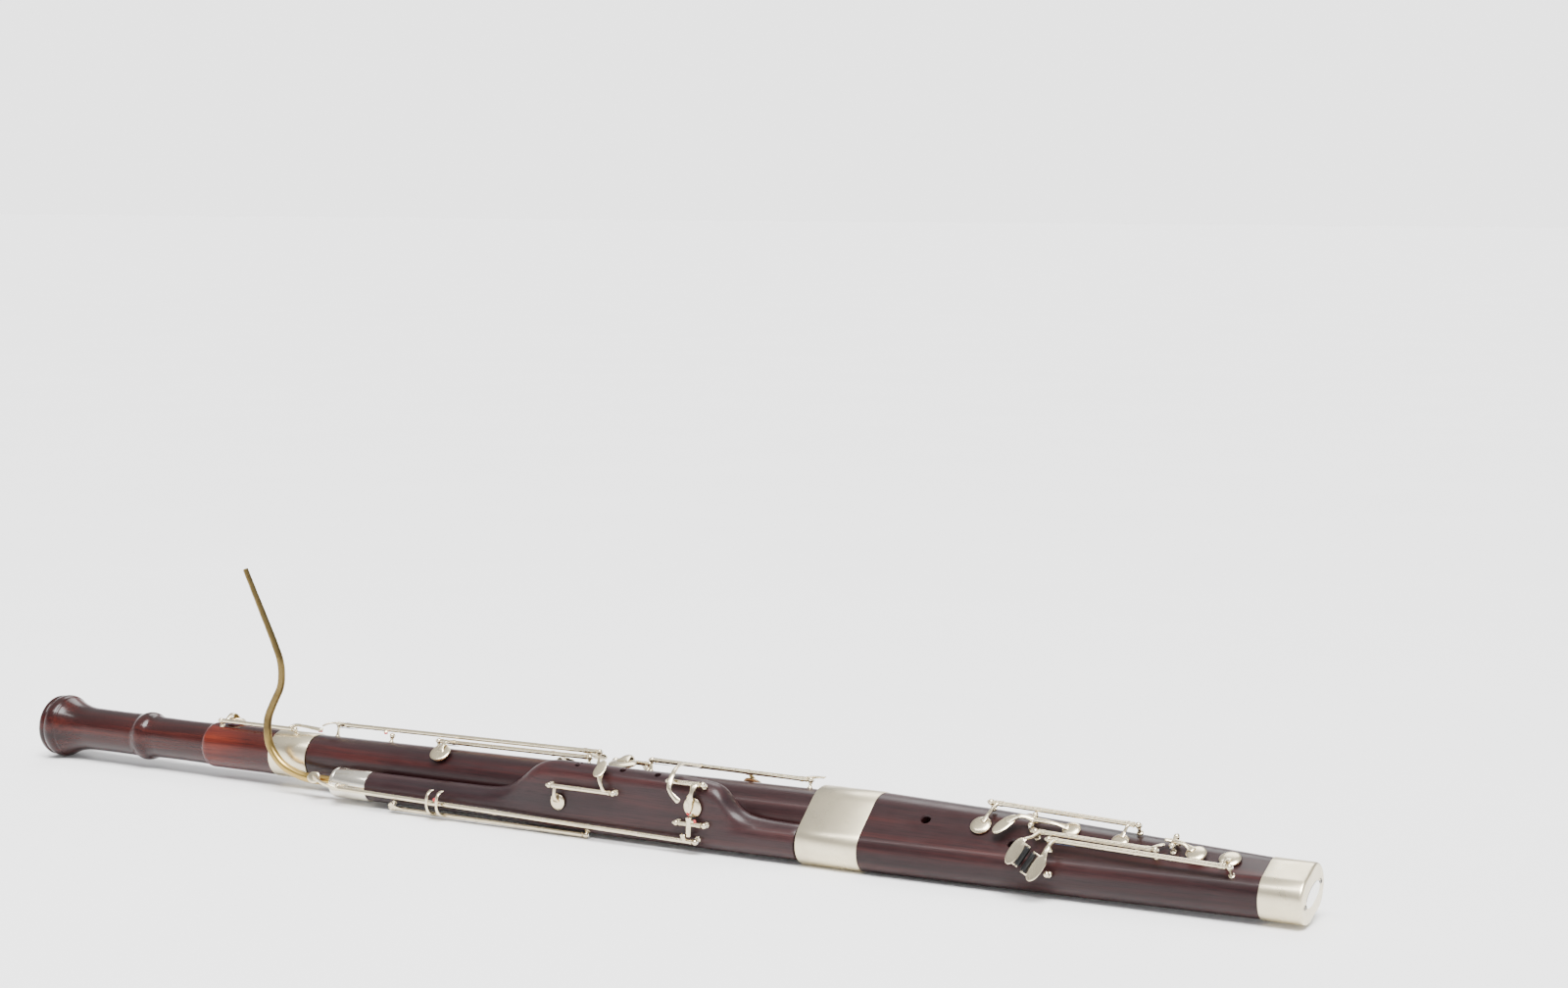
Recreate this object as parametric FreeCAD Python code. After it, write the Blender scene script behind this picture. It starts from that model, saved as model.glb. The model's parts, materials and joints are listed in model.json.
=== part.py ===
import FreeCAD, Part
import os
from math import asin, cos, pi, radians, sin, sqrt, tan
from FreeCAD import Vector as V

# A bassoon of the French pattern, assembled and lying on its side.
# Stations u run along the instrument from the bell mouth (0) to the boot cap (LENGTH).
# y and z are measured from the bore axis of the long joint, which is level.
# Millimetres throughout; the written parts have X along the instrument and the floor at Z = 0.

# ---- overall layout ----
LENGTH = 1330.0
AXIS_HEIGHT = 31.0
AXIS_SIDE = 14.93
ROLL = radians(19.3)
WING_SPACING = 37.5
RUNNING_GAP = 0.06

# ---- stations of the joints ----
BELL_FERRULE_U = 290.5
BELL_END_U = 335.0
WING_TOP_U = 384.0
WING_FERRULE_END_U = 426.0
BOOT_TOP_U = 884.0
BOOT_FERRULE_END_U = 943.0
CAP_U = 1293.0

# ---- bell ----
BELL_BORE_R = 17.0
BELL_BORE_LENGTH = 60.0
BELL_SOCKET_R = 18.2
BELL_FERRULE_R = 22.6
BELL_SEAT_R = 21.0

# ---- long joint ----
LONG_TOP_R = 21.7
LONG_LOW_R = 26.4
LONG_TENON_LENGTH = 38.0
LONG_UPPER_TENON_R = 17.0
LONG_LOWER_TENON_R = 18.9
LONG_BORE_TOP_R = 14.6
LONG_BORE_LOW_R = 12.4

# ---- wing joint ----
WING_TUBE_R = 13.5
WING_FERRULE_R = 14.2
WING_SEAT_R = 12.6
WING_LOW_R = 15.2
WING_SWELL_R = 16.0
WING_CREST_R = 13.0
WING_CREST_RISE = 34.4
WING_TENON_R = 10.5
WING_TENON_LENGTH = 34.0
WING_BORE_R = 6.5
WING_HOLLOW_GAP = 0.8

# ---- boot ----
BOOT_SOCKET_LONG_R = 20.06
BOOT_SOCKET_WING_R = 11.56
BOOT_SOCKET_DEPTH = 42.0
FERRULE_WALL = 1.8
CAP_WALL = 1.6
CAP_LENGTH = LENGTH - CAP_U
BOOT_TOP_SPAN = 34.5
BOOT_LOW_SPAN = 20.0
BOOT_WIDE_STATIONS = (BOOT_TOP_U, BOOT_FERRULE_END_U, 1050.0, 1170.0, CAP_U, LENGTH)
BOOT_WIDE_RADII = (31.0, 31.0, 29.2, 24.9, 20.3, 20.0)
BOOT_NARROW_R = 19.6
BOOT_WOOD_INSET = 0.6
U_BEND_TUBE_R = 8.0

# ---- key work ----
ROD_R = 1.2
TUBE_R = 2.1
TUBE_BORE_R = ROD_R + RUNNING_GAP
POST_BALL_R = 2.7
POST_STEM_R = 1.5
POST_FOOT_R = 2.6
POST_SINK = 3.0
ARM_R = 1.5
CUP_WALL_H = 2.2
CUP_STEM_SINK = 0.6
PAD_H = 2.0
SEAT_GAP = 0.4
END_GAP = 0.35


def at(u, y, z):
    """Frame point of a station u and offsets y, z from the long bore."""
    return V(u - LENGTH / 2, y + AXIS_SIDE, z + AXIS_HEIGHT)


def blend(value, stations, values):
    """Straight-line interpolation of values over rising stations."""
    if value <= stations[0]:
        return values[0]
    for k in range(len(stations) - 1):
        if value <= stations[k + 1]:
            part = (value - stations[k]) / (stations[k + 1] - stations[k])
            return values[k] + part * (values[k + 1] - values[k])
    return values[-1]


# The line from the long bore to the wing bore points to the near side and down.
ACROSS_Y = -cos(ROLL)
ACROSS_Z = -sin(ROLL)
WING_Y = WING_SPACING * ACROSS_Y
WING_Z = WING_SPACING * ACROSS_Z


# ---------------------------------------------------------------- basic solids

def turned(outline, y=0.0, z=0.0):
    """Solid of revolution about the line through (y, z); outline is [(u, r), ...]."""
    points = [at(u, y, z + r) for u, r in outline]
    wire = Part.makePolygon(points + [points[0]])
    return Part.Face(wire).revolve(at(0, y, z), V(1, 0, 0), 360)


def turned_curve(start, steps, y=0.0, z=0.0):
    """Solid of revolution whose outline has arcs; a step is (end,) or (middle, end)."""
    here = start
    edges = []
    for step in steps:
        end = at(step[-1][0], y, z + step[-1][1])
        begin = at(here[0], y, z + here[1])
        if len(step) == 1:
            edges.append(Part.makeLine(begin, end))
        else:
            middle = at(step[0][0], y, z + step[0][1])
            edges.append(Part.Arc(begin, middle, end).toShape())
        here = step[-1]
    return Part.Face(Part.Wire(edges)).revolve(at(0, y, z), V(1, 0, 0), 360)


def straight(p, q, radius):
    """Round bar from point p to point q."""
    return Part.makeCylinder(radius, (q - p).Length, p, q - p)


def ring_bar(p, q, radius, bore):
    """Tube from point p to point q."""
    return straight(p, q, radius).cut(straight(p, q, bore))


def arm(points, radius=ARM_R):
    """Bent round arm through the points, with a ball at each bend."""
    solid = straight(points[0], points[1], radius)
    for k in range(1, len(points) - 1):
        solid = solid.fuse(Part.makeSphere(radius * 1.02, points[k]))
        solid = solid.fuse(straight(points[k], points[k + 1], radius))
    return solid.fuse(Part.makeSphere(radius * 1.02, points[-1]))


def disc(centre, normal, radius, height):
    """Disc standing on its centre point along the normal."""
    return Part.makeCylinder(radius, height, centre, normal)


def oval_plate(centre, normal, long_way, length, width, height):
    """Flat plate with round ends, long_way giving its long direction."""
    n = V(normal).normalize()
    way = V(long_way)
    way = (way - n * way.dot(n)).normalize()
    radius = width / 2
    half = max(length / 2 - radius, 0.01)
    first = Part.makeCylinder(radius, height, centre - way * half, n)
    last = Part.makeCylinder(radius, height, centre + way * half, n)
    side = n.cross(way)
    corner = centre - way * half - side * radius
    box_edges = [corner, corner + way * (2 * half), corner + way * (2 * half) + side * width,
                 corner + side * width, corner]
    bar = Part.Face(Part.makePolygon(box_edges)).extrude(n * height)
    return first.fuse([bar, last]).removeSplitter()


def joined(shapes):
    """One solid of all the shapes."""
    return shapes[0].fuse(shapes[1:]) if len(shapes) > 1 else shapes[0]


# ---------------------------------------------------------------- egg sections

def egg_wire(u, y1, z1, r1, y2, z2, r2):
    """Outline around two circles at station u, as two arcs and two tangent lines."""
    span = sqrt((y2 - y1) ** 2 + (z2 - z1) ** 2)
    ey, ez = (y2 - y1) / span, (z2 - z1) / span
    lean = asin((r1 - r2) / span)

    def rim(y, z, r, turn):
        cy, cz = cos(turn), sin(turn)
        return at(u, y + r * (ey * cy - ez * cz), z + r * (ez * cy + ey * cz))

    side = pi / 2 - lean
    a1, a2 = rim(y1, z1, r1, side), rim(y1, z1, r1, -side)
    b1, b2 = rim(y2, z2, r2, side), rim(y2, z2, r2, -side)
    back = Part.Arc(a2, rim(y1, z1, r1, pi), a1).toShape()
    front = Part.Arc(b1, rim(y2, z2, r2, 0.0), b2).toShape()
    return Part.Wire([back, Part.makeLine(a1, b1), front, Part.makeLine(b2, a2)])


def boot_circles(u, inset=0.0):
    """Centres and radii of the two circles of the boot section at station u."""
    span = blend(u, (BOOT_FERRULE_END_U, CAP_U), (BOOT_TOP_SPAN, BOOT_LOW_SPAN))
    wide = (BOOT_TOP_SPAN - span) / 2
    narrow = (BOOT_TOP_SPAN + span) / 2
    radius = blend(u, BOOT_WIDE_STATIONS, BOOT_WIDE_RADII)
    return (wide * ACROSS_Y, wide * ACROSS_Z, radius - inset,
            narrow * ACROSS_Y, narrow * ACROSS_Z, BOOT_NARROW_R - inset)


def boot_loft(stations, inset=0.0):
    """Solid through the boot sections at the given stations."""
    wires = [egg_wire(u, *boot_circles(u, inset)) for u in stations]
    return Part.makeLoft(wires, True, len(stations) == 2)


def boot_axes(u):
    """Start point on the wide circle, outward normal and across direction of the finger face."""
    y1, z1, r1, y2, z2, r2 = boot_circles(u, BOOT_WOOD_INSET)
    lean = asin((r1 - r2) / sqrt((y2 - y1) ** 2 + (z2 - z1) ** 2))
    ny = cos(lean) * ACROSS_Z + sin(lean) * ACROSS_Y
    nz = -cos(lean) * ACROSS_Y + sin(lean) * ACROSS_Z
    return at(u, y1 + ny * r1, z1 + nz * r1), V(0, ny, nz), V(0, -nz, ny)


def boot_face(u, across, height):
    """Point above the boot's finger face; across runs from the long side to the wing side."""
    origin, normal, way = boot_axes(u)
    return origin + way * across + normal * height


# ---------------------------------------------------------------- posts, rods and keys

POSTS = {"bell": [], "long": [], "wing": [], "boot": []}
RODS = {"bell": [], "long": [], "wing": [], "boot": []}
SPRINGS = {"bell": [], "long": [], "wing": [], "boot": []}
SEATS = {"bell": [], "long": [], "wing": [], "boot": []}
NODES = {}


def add_post(joint, centre, outward, height):
    """Ball post: foot on the wood, stem, and a ball that holds the hinge rod."""
    n = V(outward).normalize()
    foot = centre - n * height
    stem = straight(foot - n * POST_SINK, centre, POST_STEM_R)
    flange = disc(foot - n * 0.3, n, POST_FOOT_R, 1.0)
    POSTS[joint].append(stem.fuse([flange, Part.makeSphere(POST_BALL_R, centre)]))


def add_hinge(joint, a, b, outward_a, height_a, outward_b, height_b, spring=True):
    """Two posts, the steel rod between them and its needle spring."""
    way = (b - a).normalize()
    add_post(joint, a, outward_a, height_a)
    add_post(joint, b, outward_b, height_b)
    RODS[joint].append(straight(a - way * 1.6, b + way * 1.6, ROD_R))
    if spring:
        drop = V(outward_a).normalize() * (-TUBE_R - 0.9)
        reach = min(22.0, 0.45 * (b - a).Length)
        SPRINGS[joint].append(straight(a + drop + way * POST_STEM_R, a + drop + way * reach, 0.3))


def hinge_key(a, b, limbs):
    """Key body: hinge tube between two posts with limbs, bored for its rod."""
    way = (b - a).normalize()
    start = a + way * (POST_BALL_R + END_GAP)
    end = b - way * (POST_BALL_R + END_GAP)
    solid = joined([straight(start, end, TUBE_R)] + limbs)
    return solid.cut(straight(a - way, b + way, TUBE_BORE_R))


def cup_and_pad(joint, centre, outward, radius, lift=0.0, seat_depth=0.6, dome=True):
    """Key cup, its pad, and the flat seat and tone hole under it; centre is on the wood."""
    n = V(outward).normalize()
    base = centre + n * (SEAT_GAP + lift - seat_depth)
    pad = disc(base, n, radius, PAD_H)
    cup = disc(base + n * PAD_H, n, radius + 0.4, CUP_WALL_H * 0.5)
    crown = disc(base + n * (PAD_H + CUP_WALL_H * 0.5), n, radius * 0.75, CUP_WALL_H * 0.5)
    SEATS[joint].append(disc(centre - n * seat_depth, n, radius + 1.2, 6.0))
    SEATS[joint].append(disc(centre - n * 16.0, n, radius * 0.4, 18.0))
    return (cup.fuse(crown) if dome else cup), pad, base + n * (PAD_H + CUP_WALL_H)


def radial(y, z, cy=0.0, cz=0.0):
    """Direction and distance of a point from the line through (cy, cz)."""
    distance = sqrt((y - cy) ** 2 + (z - cz) ** 2)
    return V(0, (y - cy) / distance, (z - cz) / distance), distance


def long_radius(u):
    """Outer radius of the long joint at station u."""
    return blend(u, (BELL_END_U, BOOT_TOP_U), (LONG_TOP_R, LONG_LOW_R))


def wing_radius(u):
    """Outer radius of the wing joint around its bore at station u."""
    return blend(u, (560.0, 630.0, 800.0, BOOT_TOP_U),
                 (WING_TUBE_R, WING_SWELL_R, WING_SWELL_R, WING_LOW_R))


# ---------------------------------------------------------------- bell joint

def make_bell():
    outer = [((2.0, 28.7), (7.0, 29.7)), ((8.2, 29.0), (9.4, 29.9)), ((14.5, 31.0), (19.6, 29.6)),
             ((20.8, 28.6), (22.4, 28.3)), ((36.0, 23.4), (57.0, 21.1)), ((112.0, 20.9),), ((117.0, 21.5),),
             ((124.8, 23.8), (132.6, 21.2)), ((138.0, 20.4), (145.0, 20.1)), ((206.5, 20.3),),
             ((208.8, 21.5), (214.0, 21.9)), ((BELL_FERRULE_U, 21.9),), ((BELL_FERRULE_U, BELL_SEAT_R),),
             ((BELL_END_U, BELL_SEAT_R),), ((BELL_END_U, BELL_SOCKET_R),), ((294.0, BELL_SOCKET_R),),
             ((294.0, LONG_BORE_TOP_R),), ((BELL_BORE_LENGTH, BELL_BORE_R),), ((0.0, BELL_BORE_R),),
             ((0.0, 25.6),)]
    body = turned_curve((0.0, 25.6), outer)
    NODES["bell_ferrule"] = turned([(BELL_FERRULE_U, BELL_SEAT_R), (BELL_FERRULE_U, BELL_FERRULE_R),
                                    (BELL_END_U, BELL_FERRULE_R), (BELL_END_U, BELL_SEAT_R)])
    return body


def make_bell_key():
    y, z = -8.0, 26.3
    a, b = at(222, y, z), at(313, y, z)
    out, distance = radial(y, z)
    add_hinge("bell", a, b, out, distance - 21.9, out, distance - BELL_FERRULE_R)
    tilt = radians(-14)
    n = V(0, -sin(tilt), cos(tilt))
    cup, pad, top = cup_and_pad("bell", at(229, n.y * 21.9, n.z * 21.9), n, 9.0, 2.6)
    over = [at(229, y, z), at(229, -3.0, 31.5), at(229, 4.0, 32.0), top - n * CUP_STEM_SINK]
    lever = [at(305, y, z), at(308, -3.0, 29.5), at(317, -2.5, 29.2), at(341, -2.5, 27.4)]
    NODES["bell_key"] = hinge_key(a, b, [cup, arm(over), arm(lever)])
    NODES["bell_key_pad"] = pad


# ---------------------------------------------------------------- long joint

def make_long():
    upper = LONG_UPPER_TENON_R
    lower = LONG_LOWER_TENON_R
    lap_u = (300.0, 331.0)
    lap_l = (888.0, 922.0)
    body = turned([(297.0, LONG_BORE_TOP_R), (297.0, upper), (BELL_END_U, upper), (BELL_END_U + 0.4, upper),
                   (BELL_END_U + 0.4, LONG_TOP_R), (BOOT_TOP_U - 0.4, LONG_LOW_R),
                   (BOOT_TOP_U - 0.4, lower), (924.0, lower), (924.0, LONG_BORE_LOW_R)])
    NODES["long_upper_lapping"] = turned([(lap_u[0], upper), (lap_u[0], BELL_SOCKET_R - RUNNING_GAP),
                                          (lap_u[1], BELL_SOCKET_R - RUNNING_GAP), (lap_u[1], upper)])
    top = BOOT_SOCKET_LONG_R - RUNNING_GAP
    NODES["long_lower_lapping"] = turned([(lap_l[0], lower), (lap_l[0], top), (lap_l[1], top),
                                          (lap_l[1], lower)])
    return body


def long_post(u, y, z):
    """Outward direction and height above the long joint of a post head."""
    out, distance = radial(y, z)
    return out, distance - long_radius(u)


def make_link_key():
    a, b = at(354, 8.0, 32.4), at(650, 8.0, 35.2)
    add_hinge("long", a, b, *long_post(354, 8.0, 32.4), *long_post(650, 8.0, 35.2))
    add_post("long", at(417, 8.0, 27.2), *long_post(417, 8.0, 27.2))
    flag = [at(361, 8.0, 32.5), at(359.5, 2.0, 35.0), at(348, 0.0, 34.4), at(345, -3.0, 32.4)]
    touch_arm = [at(634, 8.0, 35.0), at(634, 17.0, 34.0), at(634, 26.0, 27.5)]
    touch = oval_plate(at(634, 27.5, 25.5), V(0, 0.75, 0.66), V(1, 0, 0), 22.0, 11.0, 1.8)
    NODES["bell_link_key"] = hinge_key(a, b, [arm(flag), arm(touch_arm), touch])


def make_low_b_key():
    a, b = at(472, 7.0, 27.9), at(640, 7.0, 29.3)
    add_hinge("long", a, b, *long_post(472, 7.0, 27.9), *long_post(640, 7.0, 29.3))
    tilt = radians(34)
    n = V(0, -sin(tilt), cos(tilt))
    r = long_radius(489)
    cup, pad, top = cup_and_pad("long", at(489, n.y * r, n.z * r), n, 9.6, 2.8, 0.6, False)
    over = [at(489, 7.0, 28.0), at(489, -4.0, 31.6), at(489, -12.0, 28.6), top - n * CUP_STEM_SINK]
    touch_arm = [at(600, 7.0, 29.0), at(600, 17.0, 28.5), at(600, 26.5, 19.5)]
    touch = oval_plate(at(600, 27.5, 17.0), V(0, 0.85, 0.52), V(1, 0, 0), 20.0, 10.0, 1.8)
    NODES["low_b_key"] = hinge_key(a, b, [cup, arm(over), arm(touch_arm), touch])
    NODES["low_b_pad"] = pad


def make_low_c_key():
    a, b = at(663, 15.0, 27.6), at(699, 15.0, 27.6)
    add_hinge("long", a, b, *long_post(663, 15.0, 27.6), *long_post(699, 15.0, 27.6))
    tilt = radians(5)
    n = V(0, -sin(tilt), cos(tilt))
    r = long_radius(681)
    cup, pad, top = cup_and_pad("long", at(681, n.y * r, n.z * r), n, 12.5, 3.6)
    over = [at(681, 15.0, 27.6), at(681, 12.5, 34.0), at(681, 4.0, 35.0), top - n * CUP_STEM_SINK]
    touch_arm = [at(688, 15.0, 27.6), at(688, 24.0, 25.0), at(688, 30.0, 15.0)]
    touch = oval_plate(at(688, 30.5, 12.0), V(0, 0.93, 0.37), V(1, 0, 0), 20.0, 11.0, 1.8)
    NODES["low_c_key"] = hinge_key(a, b, [cup, arm(over), arm(touch_arm), touch])
    NODES["low_c_pad"] = pad


def make_low_d_key():
    a, b = at(706, 8.0, 33.6), at(868, 8.0, 32.4)
    add_hinge("long", a, b, *long_post(706, 8.0, 33.6), *long_post(868, 8.0, 32.4))
    tilt = radians(-42)
    n = V(0, -sin(tilt), cos(tilt))
    r = long_radius(805)
    cup, pad, top = cup_and_pad("long", at(805, n.y * r, n.z * r), n, 9.0)
    over = [at(805, 8.0, 32.9), at(805, 18.0, 29.5), top - n * CUP_STEM_SINK]
    reach = [at(757, 8.0, 33.2), at(757, -18.0, 40.6), at(759.5, -34.0, 43.0), at(764, -51.5, 40.5),
             at(765, -61.5, 29.0), at(771, -61.8, 19.0)]
    tail = [at(859, 8.0, 32.5), at(865, 13.5, 34.2), at(879, 13.5, 34.6)]
    NODES["low_d_key"] = hinge_key(a, b, [cup, arm(over), arm(reach), arm(tail, 1.3)])
    NODES["low_d_pad"] = pad


# ---------------------------------------------------------------- wing joint

WING_STATIONS = (WING_FERRULE_END_U - 0.01, 500.0, 562.0, 578.0, 590.0, 600.0, 612.0, 626.0, 700.0, 790.0,
                 803.0, 811.0, 817.0, 826.0, 840.0, BOOT_TOP_U - 0.4)
WING_TOPS = (1.1, 1.3, 1.8, 4.5, 11.0, 20.5, 29.5, 35.0, 34.6, 32.2,
             29.5, 22.0, 13.0, 7.0, 4.0, 3.0)


def wing_section(u, top):
    """Wing outline at station u: the bore circle and the crest circle that reaches up to top."""
    r = wing_radius(u)
    crest = min(WING_CREST_R, r - 0.35)
    rise = max(top - WING_Z - crest, r - crest + 0.05)
    lean_y = -1.7 * rise / WING_CREST_RISE
    return egg_wire(u, WING_Y, WING_Z, r, WING_Y + lean_y, WING_Z + rise, crest)


def make_wing():
    wires = [wing_section(u, top) for u, top in zip(WING_STATIONS, WING_TOPS)]
    body = Part.makeLoft(wires, True, True)
    neck = turned([(386.6, 0.0), (386.6, WING_SEAT_R), (WING_FERRULE_END_U, WING_SEAT_R),
                   (WING_FERRULE_END_U, 0.0)], WING_Y, WING_Z)
    tenon = turned([(BOOT_TOP_U - 0.4, 0.0), (BOOT_TOP_U - 0.4, WING_TENON_R), (916.0, WING_TENON_R),
                    (916.0, 0.0)], WING_Y, WING_Z)
    body = body.fuse([neck, tenon])
    hollow = turned([(BELL_END_U, 0.0), (BELL_END_U, LONG_TOP_R + WING_HOLLOW_GAP),
                     (BOOT_TOP_U - 0.4, LONG_LOW_R + WING_HOLLOW_GAP), (BOOT_TOP_U - 0.4, 0.0)])
    bore = turned([(380.0, 0.0), (380.0, 6.36), (406.0, 6.36), (406.0, 4.8), (917.0, WING_BORE_R),
                   (917.0, 0.0)], WING_Y, WING_Z)
    body = body.cut(hollow).cut(bore)
    for u in (659.0, 706.0, 742.0):
        top = at(u, -41.5, 34.0)
        body = body.cut(straight(top, at(u, WING_Y, WING_Z), 3.0))
    NODES["wing_ferrule"] = turned_curve(
        (WING_TOP_U, 6.6), [((WING_TOP_U, 12.6),), ((384.5, 13.7), (385.6, WING_FERRULE_R)),
                            ((WING_FERRULE_END_U, WING_FERRULE_R),), ((WING_FERRULE_END_U, WING_SEAT_R),),
                            ((386.6, WING_SEAT_R),), ((386.6, 6.6),), ((WING_TOP_U, 6.6),)],
        WING_Y, WING_Z)
    top = BOOT_SOCKET_WING_R - RUNNING_GAP
    NODES["wing_lapping"] = turned([(888.0, WING_TENON_R), (888.0, top), (913.0, top),
                                    (913.0, WING_TENON_R)], WING_Y, WING_Z)
    return body


NEAR = V(0, -1, 0)
WING_FACE_Y = -50.8


def make_g_key():
    y = -55.6
    a, b = at(637, y, 15.6), at(704, y, 15.0)
    add_hinge("wing", a, b, NEAR, WING_FACE_Y - y, NEAR, WING_FACE_Y - y)
    cup, pad, top = cup_and_pad("wing", at(643.5, WING_FACE_Y, 0.6), NEAR, 7.0)
    over = [at(643.5, y, 15.5), at(643.5, -58.2, 9.0), at(643.5, -57.6, 4.0), top - NEAR * CUP_STEM_SINK]
    stem = [at(695, y, 15.0), at(693, -58.0, 22.0), at(690, -55.2, 30.5)]
    out = V(0, -0.62, 0.78)
    touch = oval_plate(at(689, -51.8, 34.3), out, V(0, 0.78, 0.62), 19.0, 11.0, 1.8)
    NODES["wing_g_key"] = hinge_key(a, b, [cup, arm(over, 1.2), arm(stem, 1.3), touch])
    NODES["wing_g_pad"] = pad


def make_transfer_key():
    y, z = -50.5, 31.2
    a, b = at(759, y, z), at(793, y, z)
    out, distance = radial(y, z, WING_Y - 1.7, WING_Z + WING_CREST_RISE)
    add_hinge("wing", a, b, out, distance - WING_CREST_R, out, distance - WING_CREST_R, False)
    cup, pad, top = cup_and_pad("wing", at(783.5, WING_FACE_Y, 11.0), NEAR, 8.4)
    lever = [at(785, y, z), at(784.5, -55.5, 25.0), at(783.5, -56.2, 12.0), at(781, -56.2, 7.6)]
    NODES["transfer_key"] = hinge_key(a, b, [cup, arm(lever, 1.6)])
    NODES["transfer_pad"] = pad


def make_rocker_key():
    y, z = -56.0, -3.5
    a, b = at(769, y, z), at(797, y, z)
    add_hinge("wing", a, b, NEAR, WING_FACE_Y - y - 0.5, NEAR, WING_FACE_Y - y - 0.5, False)
    lever = [at(783, -58.6, 2.4), at(783, -57.4, z), at(783, -58.9, -13.2)]
    NODES["rocker_key"] = hinge_key(a, b, [arm(lever, 1.6)])


CROOK_OUT = V(0, -0.92, 0.39).normalize()


def make_crook_key():
    a, b = at(395, -56.0, -12.8), at(788, -56.0, -18.9)
    near_a, da = radial(-56.0, -12.8, WING_Y, WING_Z)
    near_b, db = radial(-56.0, -18.9, WING_Y, WING_Z)
    add_hinge("wing", a, b, near_a, da - WING_FERRULE_R, near_b, db - WING_SWELL_R)
    out = CROOK_OUT
    base = at(364, WING_Y, WING_Z) + out * 8.6
    NODES["crook_pad"] = oval_plate(base, out, V(1, 0, 0), 13.0, 10.0, PAD_H)
    cup = oval_plate(base + out * PAD_H, out, V(1, 0, 0), 14.0, 11.0, 1.6)
    top = base + out * (PAD_H + 2.6)
    reach = [at(401, -56.0, -12.9), at(397, -61.5, -10.5), at(385, -61.0, -8.5), at(372, -52.0, -6.5), top]
    tail = [at(778, -56.0, -18.75), at(778, -60.5, -12.5)]
    NODES["crook_key"] = hinge_key(a, b, [cup, arm(reach), arm(tail, 1.4)])


def make_octave_link():
    a, b = at(458, -49.0, -26.3), at(671, -48.6, -27.6)
    out_a, da = radial(-49.0, -26.3, WING_Y, WING_Z)
    out_b, db = radial(-48.6, -27.6, WING_Y, WING_Z)
    add_hinge("wing", a, b, out_a, da - WING_TUBE_R, out_b, db - WING_SWELL_R, False)
    hooks = []
    for u in (507.0, 518.0):
        hooks.append(arm([at(u, -49.0, -26.6), at(u, -57.0, -25.5), at(u, -62.5, -19.0), at(u, -62.5, -10.0),
                          at(u, -58.0, -4.0), at(u, -53.5, -3.5)], 1.3))
    felt_arm = arm([at(470, -49.0, -26.4), at(466, -55.5, -24.5), at(463, -59.5, -20.0)], 1.3)
    NODES["octave_link"] = hinge_key(a, b, hooks + [felt_arm])


# ---------------------------------------------------------------- bocal

BOCAL_CORNERS = ((404.0, -12.4), (345.0, -12.4), (318.0, -3.5), (302.0, 16.0), (301.5, 40.0),
                 (310.0, 57.0), (320.0, 74.0), (320.5, 96.0), (309.0, 122.0), (284.3, 172.4))
BOCAL_SOCKET_R = 5.0
BOCAL_TIP_R = 2.6
BOCAL_WALL = 0.8


def rounded_path(corners):
    """Straight runs joined by tangent arcs, each arc as large as its shorter run allows."""
    edges = []
    here = corners[0]
    for k in range(1, len(corners) - 1):
        back = (corners[k - 1] - corners[k])
        ahead = (corners[k + 1] - corners[k])
        cut = 0.45 * min(back.Length, ahead.Length)
        p = corners[k] + back.normalize() * cut
        q = corners[k] + ahead.normalize() * cut
        bisector = ((p + q) * 0.5 - corners[k])
        half_turn = (pi - back.getAngle(ahead)) / 2
        radius = cut / tan(half_turn)
        depth = radius / cos(half_turn) - radius
        middle = corners[k] + bisector.normalize() * depth
        edges.append(Part.makeLine(here, p))
        edges.append(Part.Arc(p, middle, q).toShape())
        here = q
    edges.append(Part.makeLine(here, corners[-1]))
    return Part.Wire(edges)


def tapered_sweep(path, start, start_way, r_start, end, end_way, r_end):
    """Solid along the path whose round section tapers from start to end."""
    first = Part.Wire(Part.makeCircle(r_start, start, start_way))
    last = Part.Wire(Part.makeCircle(r_end, end, end_way))
    return path.makePipeShell([first, last], True, True)


def make_bocal():
    corners = [at(u, WING_Y, z) for u, z in BOCAL_CORNERS]
    corners[0] = at(404.0, WING_Y, WING_Z)
    corners[1] = at(345.0, WING_Y, WING_Z)
    path = rounded_path(corners)
    way = (corners[-1] - corners[-2]).normalize()
    tip = corners[-1]
    outer = tapered_sweep(path, corners[0], V(-1, 0, 0), BOCAL_SOCKET_R, tip, way, BOCAL_TIP_R)
    inner = tapered_sweep(path, corners[0], V(-1, 0, 0), BOCAL_SOCKET_R - BOCAL_WALL,
                          tip, way, BOCAL_TIP_R - BOCAL_WALL)
    ferrule = straight(tip - way * 2.0, tip + way * 12.0, BOCAL_TIP_R)
    hole = straight(tip - way * 3.0, tip + way * 12.0, BOCAL_TIP_R - BOCAL_WALL)
    out = CROOK_OUT
    seat = at(364, WING_Y, WING_Z)
    nipple = straight(seat + out * 3.0, seat + out * 8.1, 1.8)
    collar = ring_bar(at(383.4, WING_Y, WING_Z), at(381.0, WING_Y, WING_Z), 6.0, BOCAL_SOCKET_R - 0.2)
    tube = outer.fuse([ferrule, nipple, collar]).cut(inner).cut(hole)
    NODES["bocal_tube"] = tube.cut(straight(seat, seat + out * 9.0, 0.5))
    cork_out = at(385.0, WING_Y, WING_Z)
    cork_in = at(403.0, WING_Y, WING_Z)
    NODES["bocal_cork"] = straight(cork_out, cork_in, 6.3).cut(outer)


# ---------------------------------------------------------------- boot

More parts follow.
